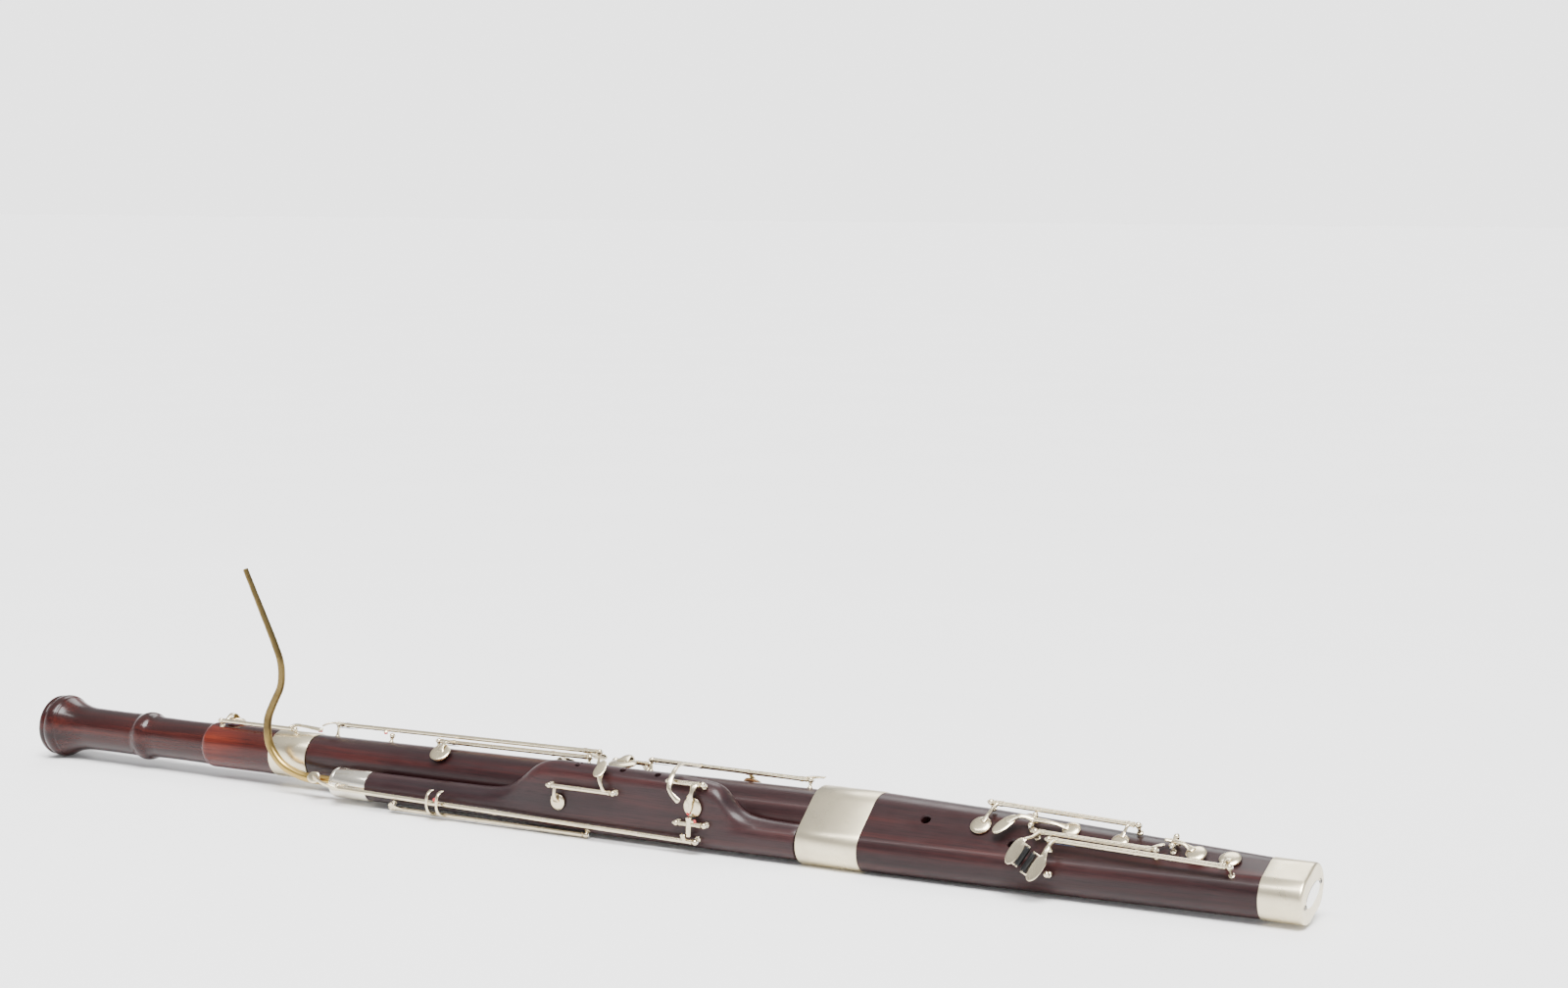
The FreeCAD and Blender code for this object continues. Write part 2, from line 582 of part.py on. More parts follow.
def make_boot():
    body = boot_loft((BOOT_FERRULE_END_U, 1050.0, 1170.0, CAP_U), BOOT_WOOD_INSET)
    head = boot_loft((BOOT_TOP_U, BOOT_FERRULE_END_U), FERRULE_WALL)
    foot = boot_loft((CAP_U, 1303.0), CAP_WALL)
    body = body.fuse([head, foot])
    sockets = [turned([(883.0, 0.0), (883.0, BOOT_SOCKET_LONG_R), (926.0, BOOT_SOCKET_LONG_R), (926.0, 0.0)]),
               turned([(883.0, 0.0), (883.0, BOOT_SOCKET_WING_R), (918.0, BOOT_SOCKET_WING_R), (918.0, 0.0)],
                      WING_Y, WING_Z)]
    low_wide = (BOOT_TOP_SPAN - BOOT_LOW_SPAN) / 2
    low_narrow = (BOOT_TOP_SPAN + BOOT_LOW_SPAN) / 2
    ends = [(at(925.0, 0, 0), at(1304.0, low_wide * ACROSS_Y, low_wide * ACROSS_Z), LONG_BORE_LOW_R, 9.4),
            (at(917.0, WING_Y, WING_Z), at(1304.0, low_narrow * ACROSS_Y, low_narrow * ACROSS_Z),
             WING_BORE_R, U_BEND_TUBE_R)]
    for p, q, r1, r2 in ends:
        sockets.append(Part.makeCone(r1, r2, (q - p).Length, p, q - p))
    for u, across in ((995.0, 6.7), (1079.0, 19.0)):
        sockets.append(straight(boot_face(u, across, 4.0), boot_face(u, across + 2.0, -22.0), 4.2))
    for hole in sockets:
        body = body.cut(hole)
    ferrule = boot_loft((BOOT_TOP_U, BOOT_FERRULE_END_U))
    NODES["boot_ferrule"] = ferrule.cut(boot_loft((BOOT_TOP_U, BOOT_FERRULE_END_U), FERRULE_WALL))
    return body


def make_boot_end():
    """Gasket, U bend, cap shell, end plate and its two screws."""
    low_wide = (BOOT_TOP_SPAN - BOOT_LOW_SPAN) / 2
    low_narrow = (BOOT_TOP_SPAN + BOOT_LOW_SPAN) / 2
    wide = at(0, low_wide * ACROSS_Y, low_wide * ACROSS_Z)
    narrow = at(0, low_narrow * ACROSS_Y, low_narrow * ACROSS_Z)
    middle = (wide + narrow) * 0.5
    along = V(1, 0, 0)
    centre_way = V(0, ACROSS_Y, ACROSS_Z)
    flat_way = along.cross(centre_way)

    def slab(u, thickness, inset):
        return boot_loft((u, u + thickness), inset)

    hole_r = U_BEND_TUBE_R - 0.8
    bores = [straight(p + along * 1300.0, p + along * 1305.6, hole_r) for p in (wide, narrow)]
    bend_centre = middle + along * 1305.6
    start = wide + along * 1305.6
    ring = Part.Face(Part.Wire(Part.makeCircle(U_BEND_TUBE_R, start, along)))
    hollow = Part.Face(Part.Wire(Part.makeCircle(hole_r, start, along))).revolve(bend_centre, flat_way, 180)
    passage = hollow.fuse(bores)
    bend = slab(1304.5, 1.6, CAP_WALL + 1.2).fuse(ring.revolve(bend_centre, flat_way, 180))
    NODES["boot_gasket"] = slab(1303.0, 1.5, CAP_WALL + 1.2).cut(Part.makeCompound(bores))
    NODES["boot_u_bend"] = bend.cut(passage)
    shell = boot_loft((CAP_U, LENGTH - 1.0))
    shell = shell.cut(boot_loft((CAP_U - 1.0, LENGTH - 2.6), CAP_WALL))
    plate_base = middle + along * (LENGTH - 1.0)
    plate = oval_plate(plate_base, along, centre_way, 34.0, 15.0, 0.7)
    screws = []
    for side in (-1, 1):
        head = plate_base + centre_way * (side * 20.0)
        screw = disc(head - along * 1.4, along, 1.2, 1.5).fuse(disc(head, along, 2.2, 1.0))
        shell = shell.cut(screw)
        screws.append(screw)
    NODES["boot_cap"] = shell
    NODES["boot_cap_plate"] = plate
    NODES["boot_cap_screws"] = Part.makeCompound(screws)


def boot_post(u, across, height):
    """Post head, outward direction and height on the finger face."""
    return boot_face(u, across, height), boot_axes(u)[1], height


def boot_hinge(start, end, spring=True):
    """Hinge rod on the finger face between two (u, across, height) heads."""
    a, out_a, height_a = boot_post(*start)
    b, out_b, height_b = boot_post(*end)
    add_hinge("boot", a, b, out_a, height_a, out_b, height_b, spring)
    return a, b


def boot_cup(u, across, radius, lift=0.0):
    """Cup on the finger face."""
    n = boot_axes(u)[1]
    return cup_and_pad("boot", boot_face(u, across, 0.0), n, radius, lift) + (n,)


def make_a_c_key():
    a, b = boot_hinge((1050.0, -14.5, 8.0), (1180.0, -11.5, 8.0))
    cup_a, pad_a, top_a, n_a = boot_cup(1046.0, 6.0, 8.6)
    cup_c, pad_c, top_c, n_c = boot_cup(1168.0, 2.4, 7.0)
    limbs = [cup_a, cup_c]
    limbs.append(arm([boot_face(1056.0, -14.4, 8.0), boot_face(1052.0, -7.0, 9.0),
                      boot_face(1048.0, 1.0, 6.5), top_a - n_a * CUP_STEM_SINK]))
    limbs.append(arm([boot_face(1172.0, -11.7, 8.0), boot_face(1171.0, -6.0, 8.5),
                      boot_face(1169.0, -0.5, 6.5), top_c - n_c * CUP_STEM_SINK], 1.3))
    NODES["a_c_key"] = hinge_key(a, b, limbs)
    NODES["a_c_pads"] = Part.makeCompound([pad_a, pad_c])


def make_b_lever():
    a, b = boot_hinge((1091.0, -8.4, 6.2), (1091.0, 2.8, 6.2), False)
    cup, pad, top, n = boot_cup(1124.0, -2.6, 7.4)
    touch = oval_plate(boot_face(1070.0, 7.0, 8.4), n, V(-0.55, -0.65, -0.5), 25.0, 11.0, 1.8)
    front = arm([boot_face(1091.0, -2.8, 6.2), boot_face(1081.0, -2.8, 10.0), boot_face(1074.0, 3.0, 9.5)])
    back = arm([boot_face(1091.0, -2.8, 6.2), boot_face(1106.0, -2.8, 7.0), top - n * CUP_STEM_SINK])
    NODES["b_lever"] = hinge_key(a, b, [cup, front, back, touch])
    NODES["b_lever_pad"] = pad


TOUCH_OUT = V(0, -0.895, 0.446)
TOUCH_LONG = V(0.43, 0.4027, 0.808)
TOUCH_SIDE = V(0.9028, -0.1918, -0.3849)
TOUCH_WIDTH = 11.0
ROLLER_R = 2.6
ROLLER_LENGTH = 17.0
ROLLER_PIN_R = 0.8
ROLLER_OFFSET = 8.4
ROLLER_RISE = 1.4


def roller_mount(centre):
    """Pin and two lugs that carry a touch roller, and the roller itself."""
    half = ROLLER_LENGTH / 2
    p = centre - TOUCH_LONG * (half + 1.6)
    q = centre + TOUCH_LONG * (half + 1.6)
    pin = straight(p, q, ROLLER_PIN_R)
    lugs = [disc(p, TOUCH_LONG, 1.5, 1.3), disc(q - TOUCH_LONG * 1.3, TOUCH_LONG, 1.5, 1.3)]
    roller = ring_bar(centre - TOUCH_LONG * half, centre + TOUCH_LONG * half, ROLLER_R,
                      ROLLER_PIN_R + RUNNING_GAP)
    return [pin] + lugs, roller


def touch_with_roller(u, y, z, side, length):
    """Little-finger plate beside a roller centred at (u, y, z); the roller lies on side -1 or 1."""
    roller_centre = at(u, y, z)
    centre = roller_centre - TOUCH_SIDE * (side * ROLLER_OFFSET) - TOUCH_OUT * ROLLER_RISE
    plate = oval_plate(centre, TOUCH_OUT, TOUCH_LONG, length, TOUCH_WIDTH, 1.8)
    carrier, roller = roller_mount(roller_centre)
    half = ROLLER_LENGTH / 2 + 0.95
    for end in (-1, 1):
        inner = centre + TOUCH_SIDE * (side * 3.0) + TOUCH_OUT * 0.9 + TOUCH_LONG * (end * half)
        outer = roller_centre + TOUCH_LONG * (end * half)
        carrier.append(arm([inner, outer], 0.64))
    return [plate] + carrier, roller


def make_f_key():
    a, b = boot_hinge((1098.0, 10.0, 8.0), (1203.0, 14.0, 8.0))
    limbs, roller = touch_with_roller(1098.6, -58.5, 6.6, 1, 25.0)
    limbs.append(arm([boot_face(1102.6, 10.2, 8.0), boot_face(1100.5, 20.0, 12.0),
                      at(1096.7, -51.2, 19.6), at(1094.6, -53.5, 15.1)]))
    limbs.append(arm([boot_face(1198.0, 13.8, 8.0), boot_face(1199.0, 7.0, 4.6),
                      boot_face(1206.0, 2.2, 4.0)], 1.2))
    NODES["f_key"] = hinge_key(a, b, limbs)
    NODES["f_key_roller"] = roller


def make_d_lever():
    a, b = boot_hinge((1214.0, -6.0, 6.4), (1214.0, 5.2, 6.4), False)
    cup, pad, top, n = boot_cup(1234.5, 7.4, 8.2, 2.2)
    front = arm([boot_face(1214.0, -0.4, 6.4), boot_face(1207.0, 0.6, 8.2)], 1.4)
    back = arm([boot_face(1214.0, -0.4, 6.4), boot_face(1224.0, 2.0, 8.6), top - n * CUP_STEM_SINK])
    NODES["d_lever"] = hinge_key(a, b, [cup, front, back])
    NODES["d_lever_pad"] = pad


def make_a_flat_key():
    a = at(1113.0, -38.6, 18.0)
    b = at(1269.0, -42.4, 14.6)
    heads = []
    for u, y, z in ((1113.0, -38.6, 18.0), (1269.0, -42.4, 14.6)):
        circles = boot_circles(u, BOOT_WOOD_INSET)
        out, distance = radial(y, z, circles[3], circles[4])
        heads.append((out, distance - circles[5]))
    add_hinge("boot", a, b, *heads[0], *heads[1])
    limbs, roller = touch_with_roller(1104.4, -60.2, 2.6, -1, 25.0)
    cup, pad, top, n = boot_cup(1262.0, 6.0, 8.6)
    limbs.append(cup)
    limbs.append(arm([at(1118.0, -38.7, 17.9), at(1118.5, -50.0, 17.0), at(1117.2, -55.6, 11.5),
                      at(1115.6, -57.7, 6.2)]))
    limbs.append(arm([at(1262.0, -42.2, 14.7), at(1262.0, -35.5, 21.5), top - n * CUP_STEM_SINK]))
    NODES["a_flat_key"] = hinge_key(a, b, limbs)
    NODES["a_flat_pad"] = pad
    NODES["a_flat_roller"] = roller


def make_thumb_key():
    """Key on the far side of the boot, worked by the thumb."""
    side = radians(-84)
    out = V(0, -sin(side), cos(side))
    heads = []
    for u in (985.0, 1086.0):
        circles = boot_circles(u, BOOT_WOOD_INSET)
        r = circles[2] + 6.2
        heads.append((at(u, circles[0] + out.y * r, circles[1] + out.z * r), out, 6.2))
    a, b = heads[0][0], heads[1][0]
    add_hinge("boot", a, b, out, 6.2, out, 6.2)
    circles = boot_circles(1074.0, BOOT_WOOD_INSET)
    cup_way = radians(-52)
    n = V(0, -sin(cup_way), cos(cup_way))
    seat = at(1074.0, circles[0] + n.y * circles[2], circles[1] + n.z * circles[2])
    cup, pad, top = cup_and_pad("boot", seat, n, 8.0)
    start = a + (b - a) * 0.88
    over = arm([start, start + V(0, 1.0, 8.0), top - n * CUP_STEM_SINK])
    base = a + (b - a) * 0.2
    touch_arm = arm([base, base + V(0, 1.0, -8.0)])
    touch = oval_plate(base + V(0, 0.0, -13.0), V(0, 0.98, -0.18), V(1, 0, 0), 24.0, 12.0, 1.8)
    NODES["thumb_key"] = hinge_key(a, b, [cup, over, touch_arm, touch])
    NODES["thumb_key_pad"] = pad


# ---------------------------------------------------------------- assembly

def finish_joint(joint, body, ferrules=()):
    """Bore the posts for their rods and sink posts and seats into the wood."""
    rods = Part.makeCompound(RODS[joint])
    posts = [post.cut(rods) for post in POSTS[joint]]
    body = body.cut(Part.makeCompound(SEATS[joint])) if SEATS[joint] else body
    post_group = Part.makeCompound(posts)
    NODES[joint + "_body"] = body.cut(Part.makeCompound(POSTS[joint]))
    for name in ferrules:
        NODES[name] = NODES[name].cut(Part.makeCompound(POSTS[joint]))
    NODES[joint + "_posts"] = post_group
    NODES[joint + "_hinge_rods"] = rods
    if SPRINGS[joint]:
        NODES[joint + "_springs"] = Part.makeCompound([wire.cut(post_group) for wire in SPRINGS[joint]])


def build():
    """Make every node of the bassoon."""
    bell, long_joint, wing, boot = make_bell(), make_long(), make_wing(), make_boot()
    makers = [make_bell_key, make_link_key, make_low_b_key, make_low_c_key, make_low_d_key, make_g_key,
              make_transfer_key, make_rocker_key, make_crook_key, make_octave_link, make_bocal,
              make_boot_end, make_a_c_key, make_b_lever, make_f_key, make_d_lever, make_a_flat_key,
              make_thumb_key]
    for make in makers:
        make()
    finish_joint("bell", bell, ["bell_ferrule"])
    finish_joint("long", long_joint)
    finish_joint("wing", wing, ["wing_ferrule"])
    finish_joint("boot", boot)


def write_parts():
    os.makedirs("parts", exist_ok=True)
    for name, shape in NODES.items():
        shape.exportStep("parts/" + name + ".step")


build()
write_parts()
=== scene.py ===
import bmesh
import bpy
import json
from math import asin, atan2, cos, pi, radians, sin, sqrt
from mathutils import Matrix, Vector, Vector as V


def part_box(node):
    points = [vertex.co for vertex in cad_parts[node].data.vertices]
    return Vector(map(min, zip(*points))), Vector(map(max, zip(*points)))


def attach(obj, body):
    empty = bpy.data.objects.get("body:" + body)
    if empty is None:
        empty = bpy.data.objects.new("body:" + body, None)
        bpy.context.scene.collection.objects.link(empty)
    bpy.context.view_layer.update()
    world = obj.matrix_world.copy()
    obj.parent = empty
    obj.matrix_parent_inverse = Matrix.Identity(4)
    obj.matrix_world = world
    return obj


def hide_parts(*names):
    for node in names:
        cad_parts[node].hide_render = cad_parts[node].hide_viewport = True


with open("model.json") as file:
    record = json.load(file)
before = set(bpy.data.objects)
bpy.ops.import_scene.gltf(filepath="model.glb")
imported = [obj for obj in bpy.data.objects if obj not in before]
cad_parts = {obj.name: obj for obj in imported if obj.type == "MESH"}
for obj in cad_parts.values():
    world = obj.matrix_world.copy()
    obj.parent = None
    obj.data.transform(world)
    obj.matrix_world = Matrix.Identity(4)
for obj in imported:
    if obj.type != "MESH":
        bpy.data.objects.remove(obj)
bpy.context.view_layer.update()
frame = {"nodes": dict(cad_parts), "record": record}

# ---------------------------------------------------------------- layout, in millimetres
# Stations u run from the bell mouth; y and z are measured from the bore of the long joint.

MM = 0.001
LENGTH = 1330.0
BELL_LOW, BELL_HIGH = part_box("bell_ferrule")
START_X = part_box("bell_body")[0].x
AXIS_Y = (BELL_LOW.y + BELL_HIGH.y) / 2
AXIS_Z = (BELL_LOW.z + BELL_HIGH.z) / 2

ROLL = radians(19.3)
ACROSS_Y = -cos(ROLL)
ACROSS_Z = -sin(ROLL)
WING_SPACING = 37.5
WING_Y = WING_SPACING * ACROSS_Y
WING_Z = WING_SPACING * ACROSS_Z

BELL_FERRULE_U = 290.5
BELL_END_U = 335.0
WING_TOP_U = 384.0
WING_FERRULE_END_U = 426.0
WING_END_U = 881.2
SHOULDER_U = 207.5
VENT_U = 364.0
BOOT_TOP_U = 884.0
BOOT_FERRULE_END_U = 943.0
CAP_U = 1293.0

BELL_SOCKET_R = 21.9
BELL_FERRULE_R = 22.6
BELL_BORE_R = 14.6
LONG_FOOT_BORE_R = 12.4
WING_BORE_R = 6.6
UPPER_TENON_R = 17.0
LOWER_TENON_R = 18.9
WING_TENON_R = 10.5
LONG_SOCKET_R = 20.06
WING_SOCKET_R = 11.56
LONG_TOP_R = 21.7
LONG_LOW_R = 26.4
WING_TUBE_R = 13.5
WING_FERRULE_R = 14.2
WING_SWELL_R = 16.0
WING_LOW_R = 15.2
WING_CREST_R = 13.0
WING_CREST_RISE = 34.4
WING_CREST_LEAN = -1.7
WING_FACE_Y = -50.8

WING_HOLES = (659.0, 706.0, 742.0)
WING_HOLE_R = 3.0
BOOT_HOLES = ((995.0, 6.7), (1079.0, 19.0))
BOOT_HOLE_R = 4.2

BOOT_TOP_SPAN = 34.5
BOOT_LOW_SPAN = 20.0
BOOT_WIDE_STATIONS = (BOOT_TOP_U, BOOT_FERRULE_END_U, 1050.0, 1170.0, CAP_U, LENGTH)
BOOT_WIDE_RADII = (31.0, 31.0, 29.2, 24.9, 20.3, 20.0)
BOOT_NARROW_R = 19.6
WOOD_INSET = 0.6

TUBE_R = 2.1
BALL_R = 2.7
END_GAP = 0.35
SEAT_GAP = 0.4
PAD_H = 2.0
CUP_H = 2.2
ROD_R = 1.2

ALONG = V((1, 0, 0))
UP = V((0, 0, 1))
NEAR = V((0, -1, 0))


def at(u, y, z):
    """Frame point in metres of a station and offsets in millimetres."""
    return V((START_X + u * MM, AXIS_Y + y * MM, AXIS_Z + z * MM))


def blend(value, stations, values):
    """Straight-line interpolation over rising stations."""
    if value <= stations[0]:
        return values[0]
    for k in range(len(stations) - 1):
        if value <= stations[k + 1]:
            part = (value - stations[k]) / (stations[k + 1] - stations[k])
            return values[k] + part * (values[k + 1] - values[k])
    return values[-1]


def long_radius(u):
    return blend(u, (BELL_END_U, BOOT_TOP_U), (LONG_TOP_R, LONG_LOW_R))


def wing_radius(u):
    return blend(u, (560.0, 630.0, 800.0, BOOT_TOP_U), (WING_TUBE_R, WING_SWELL_R, WING_SWELL_R, WING_LOW_R))


def boot_circles(u, inset=0.0):
    """Centres and radii of the two circles of the boot section."""
    span = blend(u, (BOOT_FERRULE_END_U, CAP_U), (BOOT_TOP_SPAN, BOOT_LOW_SPAN))
    wide = (BOOT_TOP_SPAN - span) / 2
    narrow = (BOOT_TOP_SPAN + span) / 2
    radius = blend(u, BOOT_WIDE_STATIONS, BOOT_WIDE_RADII)
    return (wide * ACROSS_Y, wide * ACROSS_Z, radius - inset,
            narrow * ACROSS_Y, narrow * ACROSS_Z, BOOT_NARROW_R - inset)


def boot_axes(u):
    """Start point, outward normal and across direction of the boot's finger face."""
    y1, z1, r1, y2, z2, r2 = boot_circles(u, WOOD_INSET)
    lean = asin((r1 - r2) / sqrt((y2 - y1) ** 2 + (z2 - z1) ** 2))
    ny = cos(lean) * ACROSS_Z + sin(lean) * ACROSS_Y
    nz = -cos(lean) * ACROSS_Y + sin(lean) * ACROSS_Z
    return at(u, y1 + ny * r1, z1 + nz * r1), V((0, ny, nz)), V((0, -nz, ny))


def boot_face(u, across, height):
    origin, normal, way = boot_axes(u)
    return origin + way * (across * MM) + normal * (height * MM)


# ---------------------------------------------------------------- material helpers

def opaque(value):
    """RGBA colour of a grey value or an RGB tuple."""
    return (*value, 1.0) if isinstance(value, tuple) else (value, value, value, 1.0)


def set_stops(elements, stops):
    """Give a colour ramp its (place, colour) stops."""
    while len(elements) < len(stops):
        elements.new(0.5)
    for element, (place, value) in zip(elements, stops):
        element.position = place
        element.color = opaque(value)


class Shader:
    """A Principled material with small helpers for its node tree."""

    def __init__(self, name):
        self.material = bpy.data.materials.new(name)
        self.material.use_nodes = True
        self.tree = self.material.node_tree
        self.bsdf = self.tree.nodes["Principled BSDF"]
        self.coords = self.tree.nodes.new("ShaderNodeTexCoord").outputs["Object"]

    def node(self, kind, **settings):
        made = self.tree.nodes.new(kind)
        for key, value in settings.items():
            setattr(made, key, value)
        return made

    def link(self, source, target):
        """Feed a socket from a number, an RGB tuple or another socket."""
        if isinstance(source, (int, float)):
            target.default_value = source
        elif isinstance(source, tuple):
            target.default_value = opaque(source)
        else:
            self.tree.links.new(source, target)

    def stretched(self, scale):
        """Object coordinates with a separate scale on each axis."""
        mapping = self.node("ShaderNodeMapping")
        self.link(self.coords, mapping.inputs["Vector"])
        mapping.inputs["Scale"].default_value = scale
        return mapping.outputs["Vector"]

    def noise(self, vector, scale, detail=4.0, roughness=0.55, distortion=0.0):
        made = self.node("ShaderNodeTexNoise")
        self.link(vector, made.inputs["Vector"])
        made.inputs["Scale"].default_value = scale
        made.inputs["Detail"].default_value = detail
        made.inputs["Roughness"].default_value = roughness
        made.inputs["Distortion"].default_value = distortion
        return made.outputs["Fac"]

    def ramp(self, factor, stops):
        made = self.node("ShaderNodeValToRGB")
        self.link(factor, made.inputs["Fac"])
        set_stops(made.color_ramp.elements, stops)
        return made.outputs["Color"]

    def mix(self, factor, a, b, mode="MIX"):
        made = self.node("ShaderNodeMix", data_type="RGBA", blend_type=mode)
        self.link(factor, made.inputs[0])
        self.link(a, made.inputs[6])
        self.link(b, made.inputs[7])
        return made.outputs[2]

    def math(self, operation, a, b=0.0):
        made = self.node("ShaderNodeMath", operation=operation)
        self.link(a, made.inputs[0])
        self.link(b, made.inputs[1])
        return made.outputs[0]

    def bump(self, height, strength, distance):
        made = self.node("ShaderNodeBump")
        made.inputs["Strength"].default_value = strength
        made.inputs["Distance"].default_value = distance
        self.link(height, made.inputs["Height"])
        self.link(made.outputs["Normal"], self.bsdf.inputs["Normal"])

    def put(self, **values):
        """Set or link the shader's own sockets; underscores stand for spaces."""
        for key, value in values.items():
            self.link(value, self.bsdf.inputs[key.replace("_", " ")])
        return self.material


# Grain depth, haze, coat weight and specular level.
BELL_LACQUER = (0.015, 0.05, 0.12, 0.24)
JOINT_LACQUER = (0.08, 0.15, 0.07, 0.21)
FADE_LENGTH = 0.083


def rosewood(name, dark, middle, red, gloss, socket=None):
    """Straight-grained rosewood; socket is the colour past the shoulder of the bell."""
    s = Shader(name)
    grain_depth, haze, coat, specular = BELL_LACQUER if socket else JOINT_LACQUER
    bands = s.noise(s.stretched((2.2, 46.0, 46.0)), 1.6, 5.0, 0.6, 0.35)
    streaks = s.noise(s.stretched((5.0, 260.0, 260.0)), 1.4, 6.0, 0.65, 0.15)
    pores = s.noise(s.stretched((28.0, 1500.0, 1500.0)), 1.0, 3.0, 0.6)
    patches = s.noise(s.stretched((7.0, 11.0, 11.0)), 1.0, 2.0, 0.5)
    colour = s.ramp(bands, [(0.33, dark), (0.52, middle), (0.72, red)])
    colour = s.mix(s.ramp(streaks, [(0.42, 0.0), (0.70, 0.5)]), colour, dark)
    if socket:
        split = s.node("ShaderNodeSeparateXYZ")
        s.link(s.coords, split.inputs[0])
        past_shoulder = s.math("SUBTRACT", split.outputs[0], START_X + SHOULDER_U * MM)
        past = s.math("GREATER_THAN", past_shoulder, 0.0)
        faded = s.math("ADD", s.math("DIVIDE", past_shoulder, FADE_LENGTH), s.math("MULTIPLY", patches, 0.5))
        bright = s.ramp(bands, [(0.30, socket[0]), (0.50, socket[1]), (0.70, socket[2])])
        bright = s.mix(s.ramp(streaks, [(0.45, 0.0), (0.70, 0.55)]), bright, socket[0])
        bright = s.mix(s.ramp(faded, [(0.45, 0.0), (1.0, 0.8)]), bright, socket[0])
        colour = s.mix(past, colour, bright)
    wear = s.ramp(patches, [(0.35, 0.0), (0.75, haze)])
    colour = s.mix(wear, colour, (0.060, 0.034, 0.034))
    colour = s.mix(s.ramp(pores, [(0.36, 0.5), (0.47, 0.0)]), colour, (0.004, 0.002, 0.002))
    smudges = s.noise(s.coords, 60.0, 3.0, 0.5)
    rough = s.ramp(smudges, [(0.3, gloss), (0.75, gloss + 0.10)])
    s.bump(s.mix(0.5, s.ramp(pores, [(0.34, 0.0), (0.50, 1.0)]), streaks), grain_depth, 0.00025)
    return s.put(Base_Color=colour, Roughness=rough, Coat_Weight=coat, Coat_Roughness=0.12,
                 Specular_IOR_Level=specular)


def worn_metal(name, clean, tarnish, smooth, rough, scratch=0.35, tarnish_amount=0.5, scale=1.0,
               painted_floor_reflection=None):
    """Old plated metal: cloudy, tarnished and finely scratched; near the floor it takes a lighter colour, a
    painted reflection of the bright floor.
    """
    s = Shader(name)
    cloud = s.noise(s.coords, 60.0 * scale, 5.0, 0.62, 0.4)
    spots = s.noise(s.coords, 420.0 * scale, 3.0, 0.6)
    along = s.noise(s.stretched((40.0, 1400.0, 1400.0)), 1.0, 2.0, 0.5)
    around = s.noise(s.stretched((1700.0, 60.0, 60.0)), 1.0, 2.0, 0.5)
    lengthwise = s.ramp(along, [(0.55, 0.0), (0.75, 1.0)])
    scratches = s.mix(0.5, lengthwise, s.ramp(around, [(0.58, 0.0), (0.78, 1.0)]))
    colour = s.mix(s.ramp(cloud, [(0.42, 0.0), (0.80, tarnish_amount)]), clean, tarnish)
    colour = s.mix(s.ramp(spots, [(0.62, 0.0), (0.80, 0.45)]), colour, tarnish)
    # Painted reflection of the bright floor: from about 8 cm above the floor downwards the colour blends
    # towards the given lighter colour.
    if painted_floor_reflection:
        split = s.node("ShaderNodeSeparateXYZ")
        s.link(s.coords, split.inputs[0])
        height = s.math("ADD", split.outputs[2], s.math("MULTIPLY", cloud, 0.03))
        painted_reflection_mask = s.ramp(s.math("MULTIPLY", height, 10.0), [(0.42, 0.85), (0.78, 0.0)])
        colour = s.mix(painted_reflection_mask, colour, painted_floor_reflection)
    roughness = s.mix(s.ramp(cloud, [(0.3, 0.0), (0.7, 1.0)]), (smooth,) * 3, (rough,) * 3)
    s.bump(s.mix(0.35, scratches, spots), scratch * 0.3, 0.0001)
    return s.put(Base_Color=colour, Roughness=roughness, Metallic=1.0)


# Slot: shader name, dark, middle and red colours, gloss and, for the bell, its socket's colours.
WOODS = {
    "rosewood": ("rosewood", (0.008, 0.0030, 0.0038), (0.018, 0.0050, 0.0055), (0.044, 0.0075, 0.0062), 0.28),
    "wing_wood": ("wing_rosewood", (0.011, 0.0050, 0.0062), (0.021, 0.0078, 0.0088), (0.040, 0.0100, 0.0095),
                  0.33),
    "bell_wood": ("bell_rosewood", (0.008, 0.0022, 0.0022), (0.022, 0.0038, 0.0034), (0.055, 0.0082, 0.0050),
                  0.18, ((0.024, 0.0030, 0.0024), (0.066, 0.0076, 0.0042), (0.120, 0.017, 0.0070))),
}
# Slot: shader name, clean and tarnished colours, then the rest of what worn_metal takes, in its order.
METALS = {
    "nickel_silver": ("nickel_silver", (0.72, 0.63, 0.45), (0.29, 0.23, 0.14), 0.17, 0.31),
    "ferrule_metal": ("ferrule_nickel", (0.73, 0.65, 0.47), (0.46, 0.39, 0.26), 0.24, 0.38, 0.5, 0.45, 0.5),
    "wing_ferrule_metal": ("wing_ferrule_nickel", (0.80, 0.76, 0.66), (0.46, 0.41, 0.31), 0.14, 0.34, 1.0,
                           0.5),
    "steel_rod": ("steel_rod", (0.62, 0.61, 0.58), (0.25, 0.22, 0.18), 0.22, 0.38),
    "blued_spring": ("blued_spring", (0.10, 0.12, 0.20), (0.05, 0.05, 0.07), 0.25, 0.4),
    # The bocal's last colour is a painted reflection of the floor, lighter than its brass, laid on its lower
    # parts.
    "bocal_brass": ("bocal_brass", (0.145, 0.102, 0.040), (0.050, 0.034, 0.016), 0.22, 0.40, 0.6, 0.85, 0.8,
                    (0.44, 0.30, 0.09)),
    "cap_plate": ("cap_plate_nickel", (0.93, 0.92, 0.89), (0.75, 0.72, 0.66), 0.10, 0.22, 0.3, 0.3),
}
# Slot: dark and light colours, roughness and noise scale.
PLAIN = {
    "gasket_rubber": ((0.03, 0.03, 0.03), (0.06, 0.055, 0.05), 0.75, 300.0),
    "roller_black": ((0.003, 0.003, 0.003), (0.008, 0.008, 0.008), 0.3, 500.0),
    "bore_dark": ((0.010, 0.005, 0.004), (0.03, 0.012, 0.010), 0.6, 200.0),
}


